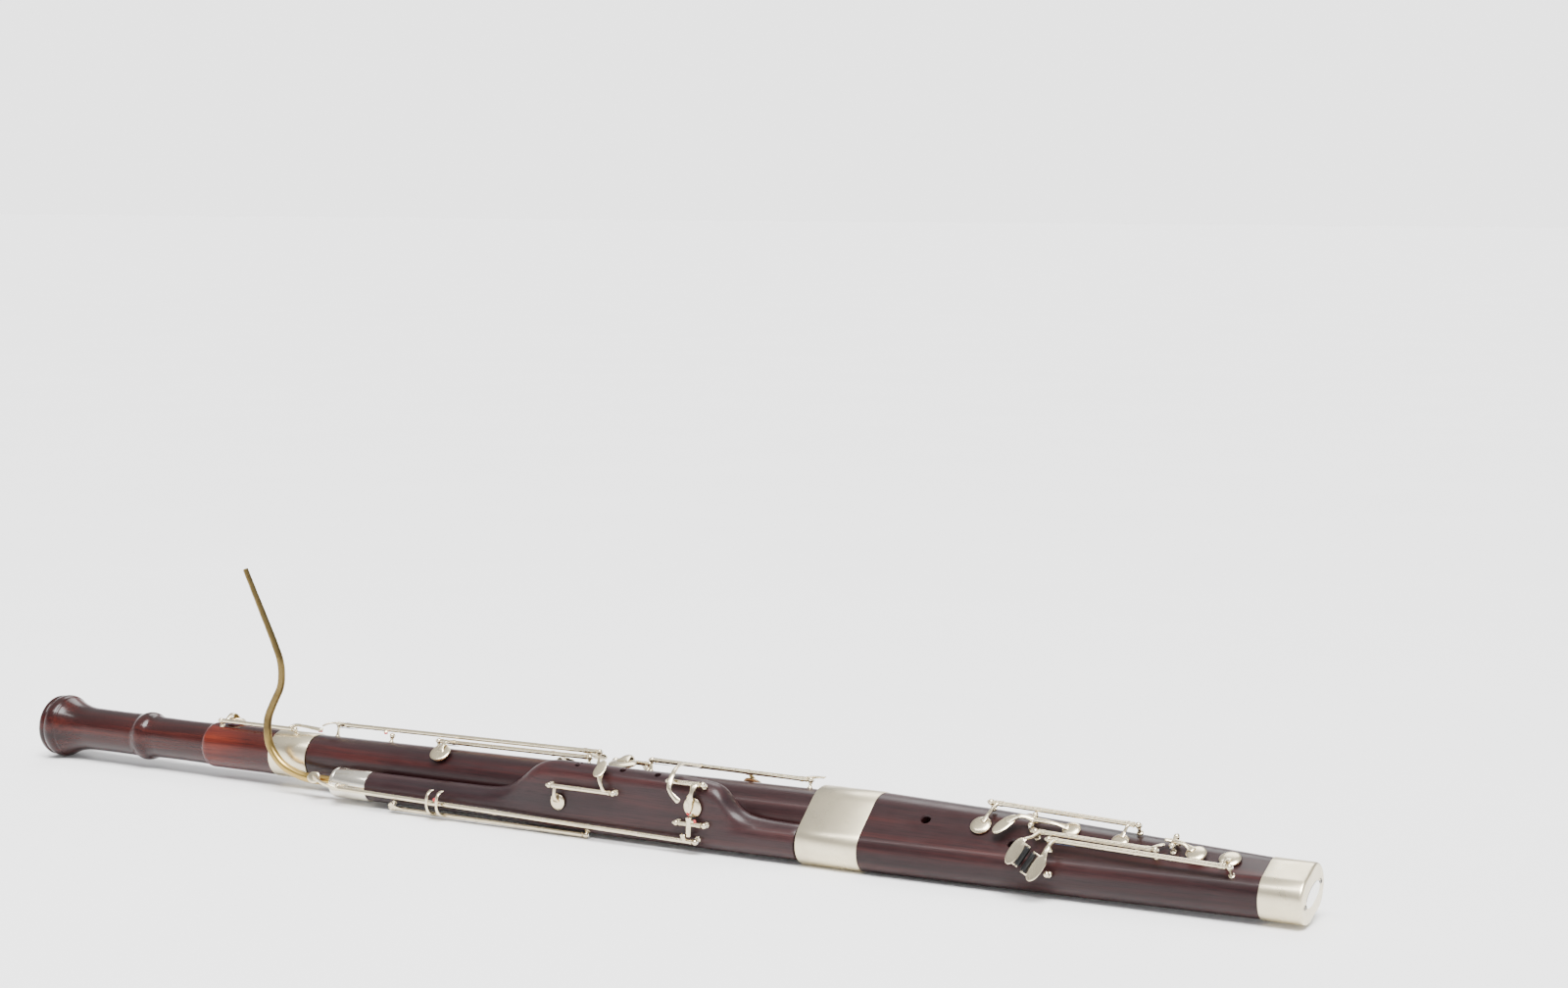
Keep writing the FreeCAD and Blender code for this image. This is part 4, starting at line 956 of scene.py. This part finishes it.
def make_link_key():
    key = long_key(8.0, (354, 32.4), (650, 35.2), (8.0, 278.0))
    ball_post(POSTS["long"], at(417, 8.0, 27.2), *post_on(8.0, 27.2, long_radius(417)))
    felt_pad("bell_link_key", at(412, 4.6, 29.2), UP, 1.7, 1.6)
    key.arm([(361, 8.0, 32.5), (359.5, 2.0, 35.0), (348, 0.0, 34.6), (343, -3.0, 31.8)],
            [(3.6, 3.2), (4.0, 2.2), (6.0, 1.8), (6.4, 1.5)])
    key.arm([(634, 8.0, 35.0), (634, 17.0, 34.0), (634, 26.0, 27.5)], FAR_ARM)
    key.touch(at(634, 27.5, 25.5), V((0, 0.75, 0.66)), ALONG, 22.0, 11.0)
    key.arm([(410, 8.0, 32.9), (411, 5.6, 31.8), (412, 4.6, 30.6)], [(3.4, 3.0), (3.6, 2.0), (4.0, 1.6)])
    key.finish("bell_link", "bell_link_key", "bell_link_key")


def make_low_b_key():
    key = long_key(7.0, (472, 27.9), (640, 29.3), (14.0, 125.0))
    top = key.cup(SEATS["low_b"], 2.8, False)
    key.arm([(489, 7.0, 28.0), (489, -4.0, 31.6), (489, -12.5, 28.6)],
            [(3.8, 3.4), (3.2, 2.6), (4.2, 2.0), (7.5, 0.8)], -UP, [top])
    key.arm([(600, 7.0, 29.0), (600, 17.0, 28.5), (600, 26.5, 19.5)], FAR_ARM)
    key.touch(at(600, 27.5, 17.0), V((0, 0.85, 0.52)), ALONG, 20.0, 10.0)
    key.finish("low_b", "low_b_key", "low_b_key", "low_b_pad")


def make_low_c_key():
    key = long_key(15.0, (663, 27.6), (699, 27.6))
    top = key.cup(SEATS["low_c"], 3.6)
    key.arm([(681, 15.0, 27.6), (681, 13.0, 34.2), (681, 5.0, 34.8)],
            [(5.0, 3.6), (6.0, 2.6), (8.0, 1.8), (12.0, 1.0)], UP, [top])
    key.arm([(688, 15.0, 27.6), (688, 24.0, 25.0), (688, 30.0, 15.0)], FAR_ARM)
    key.touch(at(688, 30.5, 12.0), V((0, 0.93, 0.37)), ALONG, 20.0, 11.0)
    key.finish("low_c", "low_c_key", "low_c_key", "low_c_pad")


def make_low_d_key():
    key = long_key(8.0, (706, 33.6), (868, 32.4), (48.0, 96.0, 150.0))
    top = key.cup(SEATS["low_d"])
    key.arm([(805, 8.0, 32.9), (805, 12.0, 31.6)], [(4.0, 3.4), (4.2, 2.0), (5.6, 1.3)], UP,
            over_cup(top, SEATS["low_d"], at(805, 11.0, 31.0)))
    key.arm([(757, 8.0, 33.2), (757, -18.0, 40.6), (759.5, -34.0, 43.0), (764, -51.5, 40.5),
             (764.5, -61.5, 29.0), (768, -61.9, 22.0), (775, -61.8, 17.0)],
            [(4.4, 3.2), (3.4, 2.8), (3.2, 2.6), (4.2, 2.4), (4.8, 2.2), (3.6, 2.0), (4.8, 1.8)])
    key.arm([(859, 8.0, 32.5), (865, 13.5, 34.2), (879, 13.5, 34.6)], [(3.2, 3.0), (3.4, 2.4), (4.2, 1.6)])
    key.finish("low_d", "low_d_key", "low_d_key", "low_d_pad")


# ---------------------------------------------------------------- wing joint keys

def make_g_key():
    y = -55.6
    head = (NEAR, WING_FACE_Y - y)
    key = Key("wing", at(637, y, 15.6), at(704, y, 15.0), head, head)
    top = key.cup(SEATS["g"])
    key.arm([(643.5, y, 15.5), (643.5, -58.2, 9.5), (643.5, -57.6, 4.0)],
            [(3.4, 3.2), (3.2, 2.2), (4.6, 1.6), (6.4, 0.9)], NEAR, [top - NEAR * (0.2 * MM)])
    key.arm([(695, y, 15.0), (693.5, -57.6, 20.0), (690.5, -56.5, 27.0), (689.5, -52.8, 33.6)],
            [(4.0, 3.4), (3.2, 2.4), (4.6, 2.0), (8.0, 1.4)], NEAR)
    key.touch(at(689, -51.8, 34.3), V((0, -0.62, 0.78)), V((0, 0.78, 0.62)), 19.0, 11.0, 1.8, -0.1)
    key.finish("g_key", "g_key", "wing_g_key", "wing_g_pad")


def make_transfer_key():
    y, z = -50.5, 31.2
    head = post_on(y, z, WING_CREST_R, WING_Y + WING_CREST_LEAN, WING_Z + WING_CREST_RISE)
    key = Key("wing", at(759, y, z), at(793, y, z), head, head, (), False)
    key.cup(SEATS["transfer"])
    key.arm([(785, y, z), (785.4, -56.0, 26.0), (783.0, -56.6, 19.0), (784.5, -56.3, 12.0),
             (781, -56.0, 7.2)], [(7.6, 3.6), (4.0, 2.4), (7.0, 2.2), (3.4, 1.8), (4.2, 1.2)], NEAR)
    key.finish("transfer", "transfer_key", "transfer_key", "transfer_pad")
    felt_pad("transfer_key", at(781, -54.9, 5.6), NEAR, 1.5, 1.0)


def make_rocker_key():
    y, z = -56.0, -3.5
    head = (NEAR, WING_FACE_Y - y - 0.5)
    key = Key("wing", at(769, y, z), at(797, y, z), head, head, (), False)
    key.arm([(783, -58.4, 2.6), (783, -57.9, -1.5), (783, -57.7, -6.0), (783, -59.0, -13.6)],
            [(5.6, 1.8), (4.4, 2.6), (5.0, 2.4), (4.6, 1.7)], NEAR)
    key.arm([(783, -57.9, -0.4), (787.2, -57.7, -0.6)], [(2.8, 1.2), (2.6, 1.0)], NEAR)
    key.finish("rocker", "rocker_key", "rocker_key")
    felt_pad("rocker_key", at(787.4, -57.2, -0.6), -NEAR, 1.5, 1.8)


VENT_OUT = V((0, -0.92, 0.39)).normalized()


def make_crook_key():
    key = Key("wing", at(395, -56.0, -12.8), at(788, -56.0, -18.9),
              post_on(-56.0, -12.8, WING_FERRULE_R, WING_Y, WING_Z),
              post_on(-56.0, -18.9, WING_SWELL_R, WING_Y, WING_Z), (180.0,))
    base = at(VENT_U, WING_Y, WING_Z) + VENT_OUT * (8.6 * MM)
    spatula(key.pads, base, VENT_OUT, ALONG, 13.0, 10.0, PAD_H, 0.0, 0.0)
    key.touch(base + VENT_OUT * (1.7 * MM), VENT_OUT, ALONG, 14.0, 11.0, 1.9, 0.1, -0.3)
    key.arm([(401, -56.0, -12.9), (397, -61.0, -10.5), (385, -60.6, -8.5), (373, -53.0, -6.9)],
            [(3.6, 3.2), (3.6, 2.4), (3.2, 2.4), (3.4, 2.0), (6.0, 1.2)], NEAR,
            [base + VENT_OUT * (3.7 * MM)])
    key.arm([(778, -56.0, -18.75), (778, -59.0, -16.0), (778, -60.5, -12.5)],
            [(3.8, 3.2), (4.4, 2.4), (5.0, 1.8)], NEAR)
    key.finish("crook", "crook_key", "crook_key", "crook_pad")


def make_octave_link():
    key = Key("wing", at(458, -49.0, -26.3), at(671, -48.6, -27.6),
              post_on(-49.0, -26.3, WING_TUBE_R, WING_Y, WING_Z),
              post_on(-48.6, -27.6, WING_SWELL_R, WING_Y, WING_Z), (), False)
    for u in (507.0, 518.0):
        key.arm([(u, -49.0, -26.6), (u, -57.0, -25.5), (u, -62.5, -19.0), (u, -62.5, -10.0),
                 (u, -59.0, -4.0), (u, -53.5, -3.5)],
                [(3.4, 2.8), (2.8, 2.4), (2.6, 2.2), (3.2, 2.2), (5.0, 1.8)], -NEAR)
    key.arm([(506.0, -61.6, -14.0), (512.5, -62.0, -14.6), (519.0, -61.6, -14.0)],
            [(2.6, 1.8), (3.0, 1.8), (2.6, 1.8)], NEAR)
    key.arm([(470, -49.0, -26.4), (466, -55.5, -24.5), (463, -59.5, -20.0)],
            [(3.4, 2.8), (3.2, 2.2), (4.6, 1.6)], NEAR)
    key.finish("octave_link", "octave_link", "octave_link")
    felt_pad("octave_link", at(463.5, -57.2, -20.8), NEAR, 1.7, 1.3)
    felt_pad("octave_link", at(514.0, -58.6, -10.6), NEAR, 1.7, 1.6)


# ---------------------------------------------------------------- bocal

BOCAL_CORNERS = ((404.0, WING_Z), (345.0, WING_Z), (318.0, -3.5), (302.0, 16.0), (301.5, 40.0),
                 (310.0, 57.0), (320.0, 74.0), (320.5, 96.0), (309.0, 122.0), (284.3, 172.4))
BOCAL_TIP_REACH = 12.0
BOCAL_WIDE_R = 5.0
BOCAL_TIP_R = 2.6


def tangent_line(corners, steps):
    """Straight runs joined by tangent arcs, as even points."""
    line = [corners[0]]
    for k in range(1, len(corners) - 1):
        back = corners[k - 1] - corners[k]
        ahead = corners[k + 1] - corners[k]
        reach = 0.45 * min(back.length, ahead.length)
        p = corners[k] + back.normalized() * reach
        q = corners[k] + ahead.normalized() * reach
        line.append(p)
        for step in range(1, steps):
            t = step / steps
            line.append(p * (1 - t) ** 2 + corners[k] * (2 * t * (1 - t)) + q * t ** 2)
        line.append(q)
    line.append(corners[-1])
    return line


def make_bocal():
    """Tapered tube open at the tip, its collar on the wing ferrule, and the nipple of its vent."""
    corners = [at(u, WING_Y, z) for u, z in BOCAL_CORNERS]
    way = (corners[-1] - corners[-2]).normalized()
    tip = corners[-1] + way * (BOCAL_TIP_REACH * MM)
    line = tangent_line(corners, 10) + [tip]
    lengths = [0.0]
    for p, q in zip(line, line[1:]):
        lengths.append(lengths[-1] + (q - p).length)
    tapered = lengths[-2]
    normal = V((0, 1, 0))
    rings = []
    for k, point in enumerate(line):
        tangent = (line[min(k + 1, len(line) - 1)] - line[max(k - 1, 0)]).normalized()
        side = tangent.cross(normal).normalized()
        r = max(BOCAL_WIDE_R - (BOCAL_WIDE_R - BOCAL_TIP_R) * lengths[k] / tapered, BOCAL_TIP_R)
        rings.append(round_ring(point, side, normal, r))
    rings.append(round_ring(tip, side, normal, 1.8))
    rings.append(round_ring(tip - way * (8.0 * MM), side, normal, 1.7))
    shape = Shape()
    shape.rings(rings)
    shape.lathe(at(383.4, WING_Y, WING_Z), -ALONG,
                [(0.0, 5.0), (0.0, 5.7), (0.4, 6.0), (2.0, 6.0), (2.4, 5.7), (2.4, 4.9)], 40)
    shape.lathe(at(VENT_U, WING_Y, WING_Z), VENT_OUT,
                [(3.0, 2.6), (5.0, 2.5), (5.6, 1.9), (7.7, 1.8), (7.7, 0.5), (6.0, 0.5)], 24)
    shape.piece("bocal_metal", "bocal", "bocal_brass", "bocal_brass", ["bocal_tube"])


def round_ring(centre, side, normal, radius):
    return [centre + (side * cos(2 * pi * i / 28) + normal * sin(2 * pi * i / 28)) * (radius * MM)
            for i in range(28)]


# ---------------------------------------------------------------- boot keys

TOUCH_OUT = V((0, -0.895, 0.446))
TOUCH_LONG = V((0.43, 0.4027, 0.808))
TOUCH_SIDE = V((0.9028, -0.1918, -0.3849))
ROLLER_LENGTH = 17.0
FIFTH_FINGER_HINT = V((0, -0.5, 0.86))


def boot_key(start, end, knots=(), spring=True):
    """Key on two posts of the boot's face, each given as (u, across, height)."""
    heads = [(boot_axes(post[0])[1], post[2]) for post in (start, end)]
    return Key("boot", boot_face(*start), boot_face(*end), *heads, knots, spring)


def make_a_c_key():
    key = boot_key((1050.0, -14.5, 8.0), (1180.0, -11.5, 8.0), (6.0, 118.0))
    top_a = key.cup(SEATS["a"])
    top_c = key.cup(SEATS["c"])
    key.boot_arm([(1056.0, -14.4, 8.0), (1054.0, -9.6, 8.6)],
                 [(4.0, 3.4), (2.8, 2.4), (3.4, 1.8), (5.0, 1.2)],
                 over_cup(top_a, SEATS["a"], boot_face(1054.0, -10.0, 6.6)))
    key.boot_arm([(1172.0, -11.7, 8.0), (1171.2, -8.2, 8.2)],
                 [(3.6, 3.2), (2.6, 2.2), (3.0, 1.7), (4.4, 1.1)],
                 over_cup(top_c, SEATS["c"], boot_face(1171.0, -9.0, 6.6)))
    key.finish("a_c", "a_c_key", "a_c_key", "a_c_pads")


def make_b_lever():
    key = boot_key((1091.0, -8.4, 6.2), (1091.0, 2.8, 6.2), (), False)
    top = key.cup(SEATS["b"])
    key.touch(boot_face(1070.0, 7.0, 8.4), boot_axes(1070.0)[1], V((-0.55, -0.65, -0.5)),
              25.0, 11.0, 1.9, 0.12, -0.6)
    key.boot_arm([(1093.0, -2.8, 6.6), (1084.0, -3.2, 10.8), (1076.0, 1.0, 10.6), (1071.0, 6.0, 9.6)],
                 [(5.0, 3.0), (3.8, 2.4), (4.6, 2.2), (8.0, 1.2)])
    key.boot_arm([(1090.0, -2.8, 6.6), (1104.0, -2.8, 7.4)], [(5.0, 3.0), (3.6, 2.2), (5.6, 1.2)],
                 over_cup(top, SEATS["b"], boot_face(1104.0, -2.8, 6.0)))
    key.finish("b_lever", "b_lever", "b_lever", "b_lever_pad")


def touch_with_roller(key, place, side, roller_name, roller_body, roller_node):
    """Little-finger plate beside a roller centred at place; the roller lies on side -1 or 1."""
    middle = at(*place)
    centre = middle - (TOUCH_SIDE * (side * 8.4) + TOUCH_OUT * 1.4) * MM
    key.touch(centre, TOUCH_OUT, TOUCH_LONG, 25.0, 11.4, 1.8, 0.0, 0.2)
    half = ROLLER_LENGTH / 2
    for end in (-1, 1):
        key.metal.lathe(middle + TOUCH_LONG * (end * (half + 0.3) * MM), TOUCH_LONG * end,
                        [(0.0, 1.4), (0.15, 1.55), (1.1, 1.55), (1.3, 1.3)], 18)
        reach = TOUCH_LONG * (end * (half + 0.95))
        inner = centre + (TOUCH_SIDE * (side * 3.0) + TOUCH_OUT * 0.9 + reach) * MM
        key.metal.sweep([inner, middle + reach * MM], [(1.5, 1.4), (1.3, 1.3)], TOUCH_OUT)
    key.metal.lathe(middle - TOUCH_LONG * ((half + 1.0) * MM), TOUCH_LONG,
                    [(0.0, 0.8), (ROLLER_LENGTH + 2.0, 0.8)], 12)
    roller = Shape()
    roller.lathe(middle - TOUCH_LONG * (half * MM), TOUCH_LONG,
                 [(0.0, 0.9), (0.0, 2.1), (0.4, 2.45), (1.0, 2.6), (ROLLER_LENGTH - 1.0, 2.6),
                  (ROLLER_LENGTH - 0.4, 2.45), (ROLLER_LENGTH, 2.1), (ROLLER_LENGTH, 0.9)], 32)
    roller.piece(roller_name, roller_body, "roller_black", "roller_black", [roller_node])


def make_f_key():
    key = boot_key((1098.0, 10.0, 8.0), (1203.0, 14.0, 8.0), (4.0, 96.0))
    touch_with_roller(key, (1098.6, -58.5, 6.6), 1, "f_roller_black", "f_roller", "f_key_roller")
    key.metal.sweep([boot_face(1102.6, 10.2, 8.0), boot_face(1100.5, 20.0, 12.0), at(1096.7, -51.2, 19.6),
                     at(1094.6, -53.5, 15.1)], [(4.0, 3.4), (3.4, 2.6), (4.0, 2.2), (5.6, 1.6)],
                    boot_axes(1100.0)[1])
    key.metal.sweep([boot_face(1198.0, 13.8, 8.0), boot_face(1199.0, 7.0, 5.2), boot_face(1206.0, 2.2, 4.2)],
                    [(3.2, 3.0), (2.8, 2.0), (3.6, 1.6)], boot_axes(1200.0)[1])
    key.finish("f_key", "f_key", "f_key")


def make_d_lever():
    key = boot_key((1214.0, -6.0, 6.4), (1214.0, 5.2, 6.4), (), False)
    top = key.cup(SEATS["d"], 2.2)
    key.boot_arm([(1216.0, -0.4, 6.6), (1207.0, 0.6, 8.2)], [(4.6, 2.8), (3.6, 2.0)])
    key.boot_arm([(1213.0, -0.4, 6.6), (1221.0, 1.6, 8.6)], [(4.6, 2.8), (3.6, 2.2), (5.6, 1.2)],
                 over_cup(top, SEATS["d"], boot_face(1221.0, 1.6, 6.0)))
    key.finish("d_lever", "d_lever", "d_lever", "d_lever_pad")


def make_a_flat_key():
    ends = ((1113.0, -38.6, 18.0), (1269.0, -42.4, 14.6))
    heads = []
    for u, y, z in ends:
        circles = boot_circles(u, WOOD_INSET)
        heads.append(post_on(y, z, circles[5], circles[3], circles[4]))
    key = Key("boot", at(*ends[0]), at(*ends[1]), *heads, (4.0, 74.0, 146.0))
    touch_with_roller(key, (1104.4, -60.2, 2.6), -1, "a_flat_roller_black", "a_flat_roller", "a_flat_roller")
    top = key.cup(SEATS["e"])
    key.arm([(1118.0, -38.7, 17.9), (1118.5, -50.0, 17.0), (1117.2, -55.6, 11.5), (1115.6, -57.7, 6.2)],
            [(4.2, 3.4), (3.8, 2.4), (4.6, 2.0), (6.4, 1.6)], FIFTH_FINGER_HINT)
    key.arm([(1262.0, -42.2, 14.7), (1262.0, -39.0, 19.4)], [(4.0, 3.4), (3.4, 2.4), (4.0, 1.8), (5.6, 1.2)],
            FIFTH_FINGER_HINT, over_cup(top, SEATS["e"], at(1262.0, -39.0, 19.4)))
    key.finish("a_flat", "a_flat_key", "a_flat_key", "a_flat_pad")


def make_thumb_key():
    height = 6.2
    out = leaning(-84)
    ends = []
    for u in (985.0, 1086.0):
        y, z, r = boot_circles(u, WOOD_INSET)[:3]
        ends.append(at(u, y + out.y * (r + height), z + out.z * (r + height)))
    key = Key("boot", *ends, (out, height), (out, height), (18.0,))
    top = key.cup(SEATS["thumb"])
    start = ends[0].lerp(ends[1], 0.88)
    key.metal.sweep([start, start + V((0, 1.0, 8.0)) * MM, top], [(4.0, 3.2), (3.8, 2.2), (7.0, 1.0)], out)
    base = ends[0].lerp(ends[1], 0.2)
    key.metal.sweep([base, base + V((0, 1.0, -5.0)) * MM, base + V((0, 0.6, -9.0)) * MM],
                    [(4.0, 3.0), (4.4, 2.2), (5.0, 1.8)], out)
    key.touch(base + V((0, 0.0, -13.0)) * MM, V((0, 0.98, -0.18)), ALONG, 24.0, 12.0)
    key.finish("thumb", "thumb_key", "thumb_key", "thumb_key_pad")


# ---------------------------------------------------------------- boot metal

def boot_shell(stations):
    """Shape through rings of the boot section; a station is (u, inset)."""
    shape = Shape()
    shape.rings([egg_ring(u, *boot_circles(u, inset), 128) for u, inset in stations])
    return shape


def make_boot_metal():
    """The ferrule with rolled edges, the cap, and the plate and two screws in its end."""
    top, low = BOOT_TOP_U, BOOT_FERRULE_END_U
    ferrule = boot_shell([(top, 1.78), (top, 0.8), (top + 0.2, 0.3), (top + 0.8, 0.0), (low - 0.6, 0.0),
                          (low - 0.1, 0.15), (low, 0.5), (low, 1.78)])
    ferrule.join_ends(128)
    ferrule.piece("boot_top_ferrule", "boot", "ferrule_metal", "ferrule_metal", ["boot_ferrule"])
    end = LENGTH - 1.0
    cap = boot_shell([(CAP_U, 1.58), (CAP_U, 0.5), (CAP_U + 0.15, 0.15), (CAP_U + 0.6, 0.0), (end - 3.0, 0.0),
                      (end - 1.8, 0.15), (end - 0.9, 0.55), (end - 0.3, 1.2), (end, 2.2), (end, 6.0),
                      (end, 12.0)])
    cap.piece("boot_end_cap", "boot", "ferrule_metal", "ferrule_metal", ["boot_cap"], 30.0)
    across = V((0, ACROSS_Y, ACROSS_Z))
    middle = at(end, BOOT_TOP_SPAN / 2 * ACROSS_Y, BOOT_TOP_SPAN / 2 * ACROSS_Z)
    plate = Shape()
    spatula(plate, middle - ALONG * (0.6 * MM), ALONG, across, 34.0, 15.0, 1.2, 0.0, 0.0)
    plate.piece("boot_end_plate", "boot", "cap_plate", "nickel_silver", ["boot_cap_plate"])
    screws = Shape()
    # Each head is laid down twice, and the doubled surface renders darker than a single one.
    for side in (-1, -1, 1, 1):
        screws.lathe(middle + across * (side * 20.0 * MM) - ALONG * (0.5 * MM), ALONG,
                     [(0.0, 2.2), (0.9, 2.2), (1.25, 1.9), (1.4, 1.2)], 20)
    screws.piece("boot_end_screws", "boot", "steel_rod", "steel_rod", ["boot_cap_screws"])
    stop = Shape()
    ball_post(stop, at(1119.0, -56.4, -6.5), V((0, -0.97, 0.22)), 4.6)
    stop.piece("touch_stop_ball", "boot", "nickel_silver", "nickel_silver")


def finish_joints():
    """The posts, rods and springs of each joint, and the felts of each key."""
    for joint, body in BODY_OF.items():
        for shapes, suffix, look, node in ((POSTS, "_ball_posts", "nickel_silver", "_posts"),
                                           (RODS, "_steel_rods", "steel_rod", "_hinge_rods"),
                                           (SPRINGS, "_needle_springs", "blued_spring", "_springs")):
            shapes[joint].piece(joint + suffix, body, look, look, [joint + node])
    for body, shape in FELTS.items():
        shape.piece(body + "_red_felt", body, "red_felt", "thread_lapping")


for make in (make_bell_wood, make_ferrules, make_long_wood, make_wing_wood, make_boot_wood, make_bell_key,
             make_link_key, make_low_b_key, make_low_c_key, make_low_d_key, make_g_key, make_transfer_key,
             make_rocker_key, make_crook_key, make_octave_link, make_bocal, make_a_c_key, make_b_lever,
             make_f_key, make_d_lever, make_a_flat_key, make_thumb_key, make_boot_metal, finish_joints):
    make()

# ---------------------------------------------------------------- floor, lights and camera

CAMERA_LENS = 63.40
CAMERA_PLACE = (1982.4, -2078.5, 555.8)
CAMERA_TILT, CAMERA_TURN = 83.434, 28.676
FLOOR_HALF = 30.0
WORLD_STRENGTH = 2.9
WORLD_BANDS = ((0.075, 1.0), (0.34, (0.15, 0.15, 0.16)), (0.8, 0.34))


def add_to_scene(name, data):
    made = bpy.data.objects.new(name, data)
    bpy.context.scene.collection.objects.link(made)
    return made


def make_lamp(name, kind, energy, aim):
    """Light that shines along the direction aim."""
    data = bpy.data.lights.new(name, kind)
    data.energy = energy
    lamp = add_to_scene(name, data)
    lamp.rotation_euler = V(aim).to_track_quat("-Z", "Y").to_euler()
    return lamp


def area_light(name, place, target, size, size_y, energy):
    lamp = make_lamp(name, "AREA", energy, V(target) - V(place))
    lamp.location = place
    lamp.data.shape = "RECTANGLE"
    lamp.data.size = size
    lamp.data.size_y = size_y


def sun_light(name, aim, energy, spread):
    """Even, soft light over the whole floor."""
    make_lamp(name, "SUN", energy, aim).data.angle = radians(spread)


def make_floor():
    mesh = bpy.data.meshes.new("floor")
    mesh.from_pydata([(x * FLOOR_HALF, y * FLOOR_HALF, 0.0) for x, y in ((-1, -1), (1, -1), (1, 1), (-1, 1))],
                     [], [(0, 1, 2, 3)])
    floor = add_to_scene("floor", mesh)
    s = Shader("studio_floor")
    mottle = s.noise(s.coords, 3.0, 3.0)
    mesh.materials.append(s.put(Base_Color=s.ramp(mottle, [(0.3, 0.86), (0.7, 0.88)]), Roughness=0.8,
                                Specular_IOR_Level=0.2))


def make_world():
    """Bright at and below the horizon like the floor, dark overhead so the wood keeps its colour."""
    world = bpy.data.worlds.new("studio")
    world.use_nodes = True
    tree = world.node_tree
    coords = tree.nodes.new("ShaderNodeTexCoord")
    split = tree.nodes.new("ShaderNodeSeparateXYZ")
    ramp = tree.nodes.new("ShaderNodeValToRGB")
    tree.links.new(coords.outputs["Generated"], split.inputs[0])
    tree.links.new(split.outputs[2], ramp.inputs["Fac"])
    tree.links.new(ramp.outputs["Color"], tree.nodes["Background"].inputs["Color"])
    set_stops(ramp.color_ramp.elements, WORLD_BANDS)
    tree.nodes["Background"].inputs["Strength"].default_value = WORLD_STRENGTH
    bpy.context.scene.world = world


def make_camera():
    data = bpy.data.cameras.new("camera")
    data.lens = CAMERA_LENS
    data.sensor_width = 36.0
    camera = add_to_scene("camera", data)
    camera.location = at(*CAMERA_PLACE)
    camera.rotation_euler = (radians(CAMERA_TILT), 0.0, radians(CAMERA_TURN))
    bpy.context.scene.camera = camera


make_floor()
make_world()
make_camera()
sun_light("key_sun", (-0.25, 0.35, -1.0), 8.2, 36.0)
sun_light("back_sun", (0.3, -0.9, -1.0), 1.2, 30.0)
area_light("strip_softbox", (0.2, -1.1, 2.1), (0.1, 0.0, 0.0), 3.2, 0.2, 34.0)
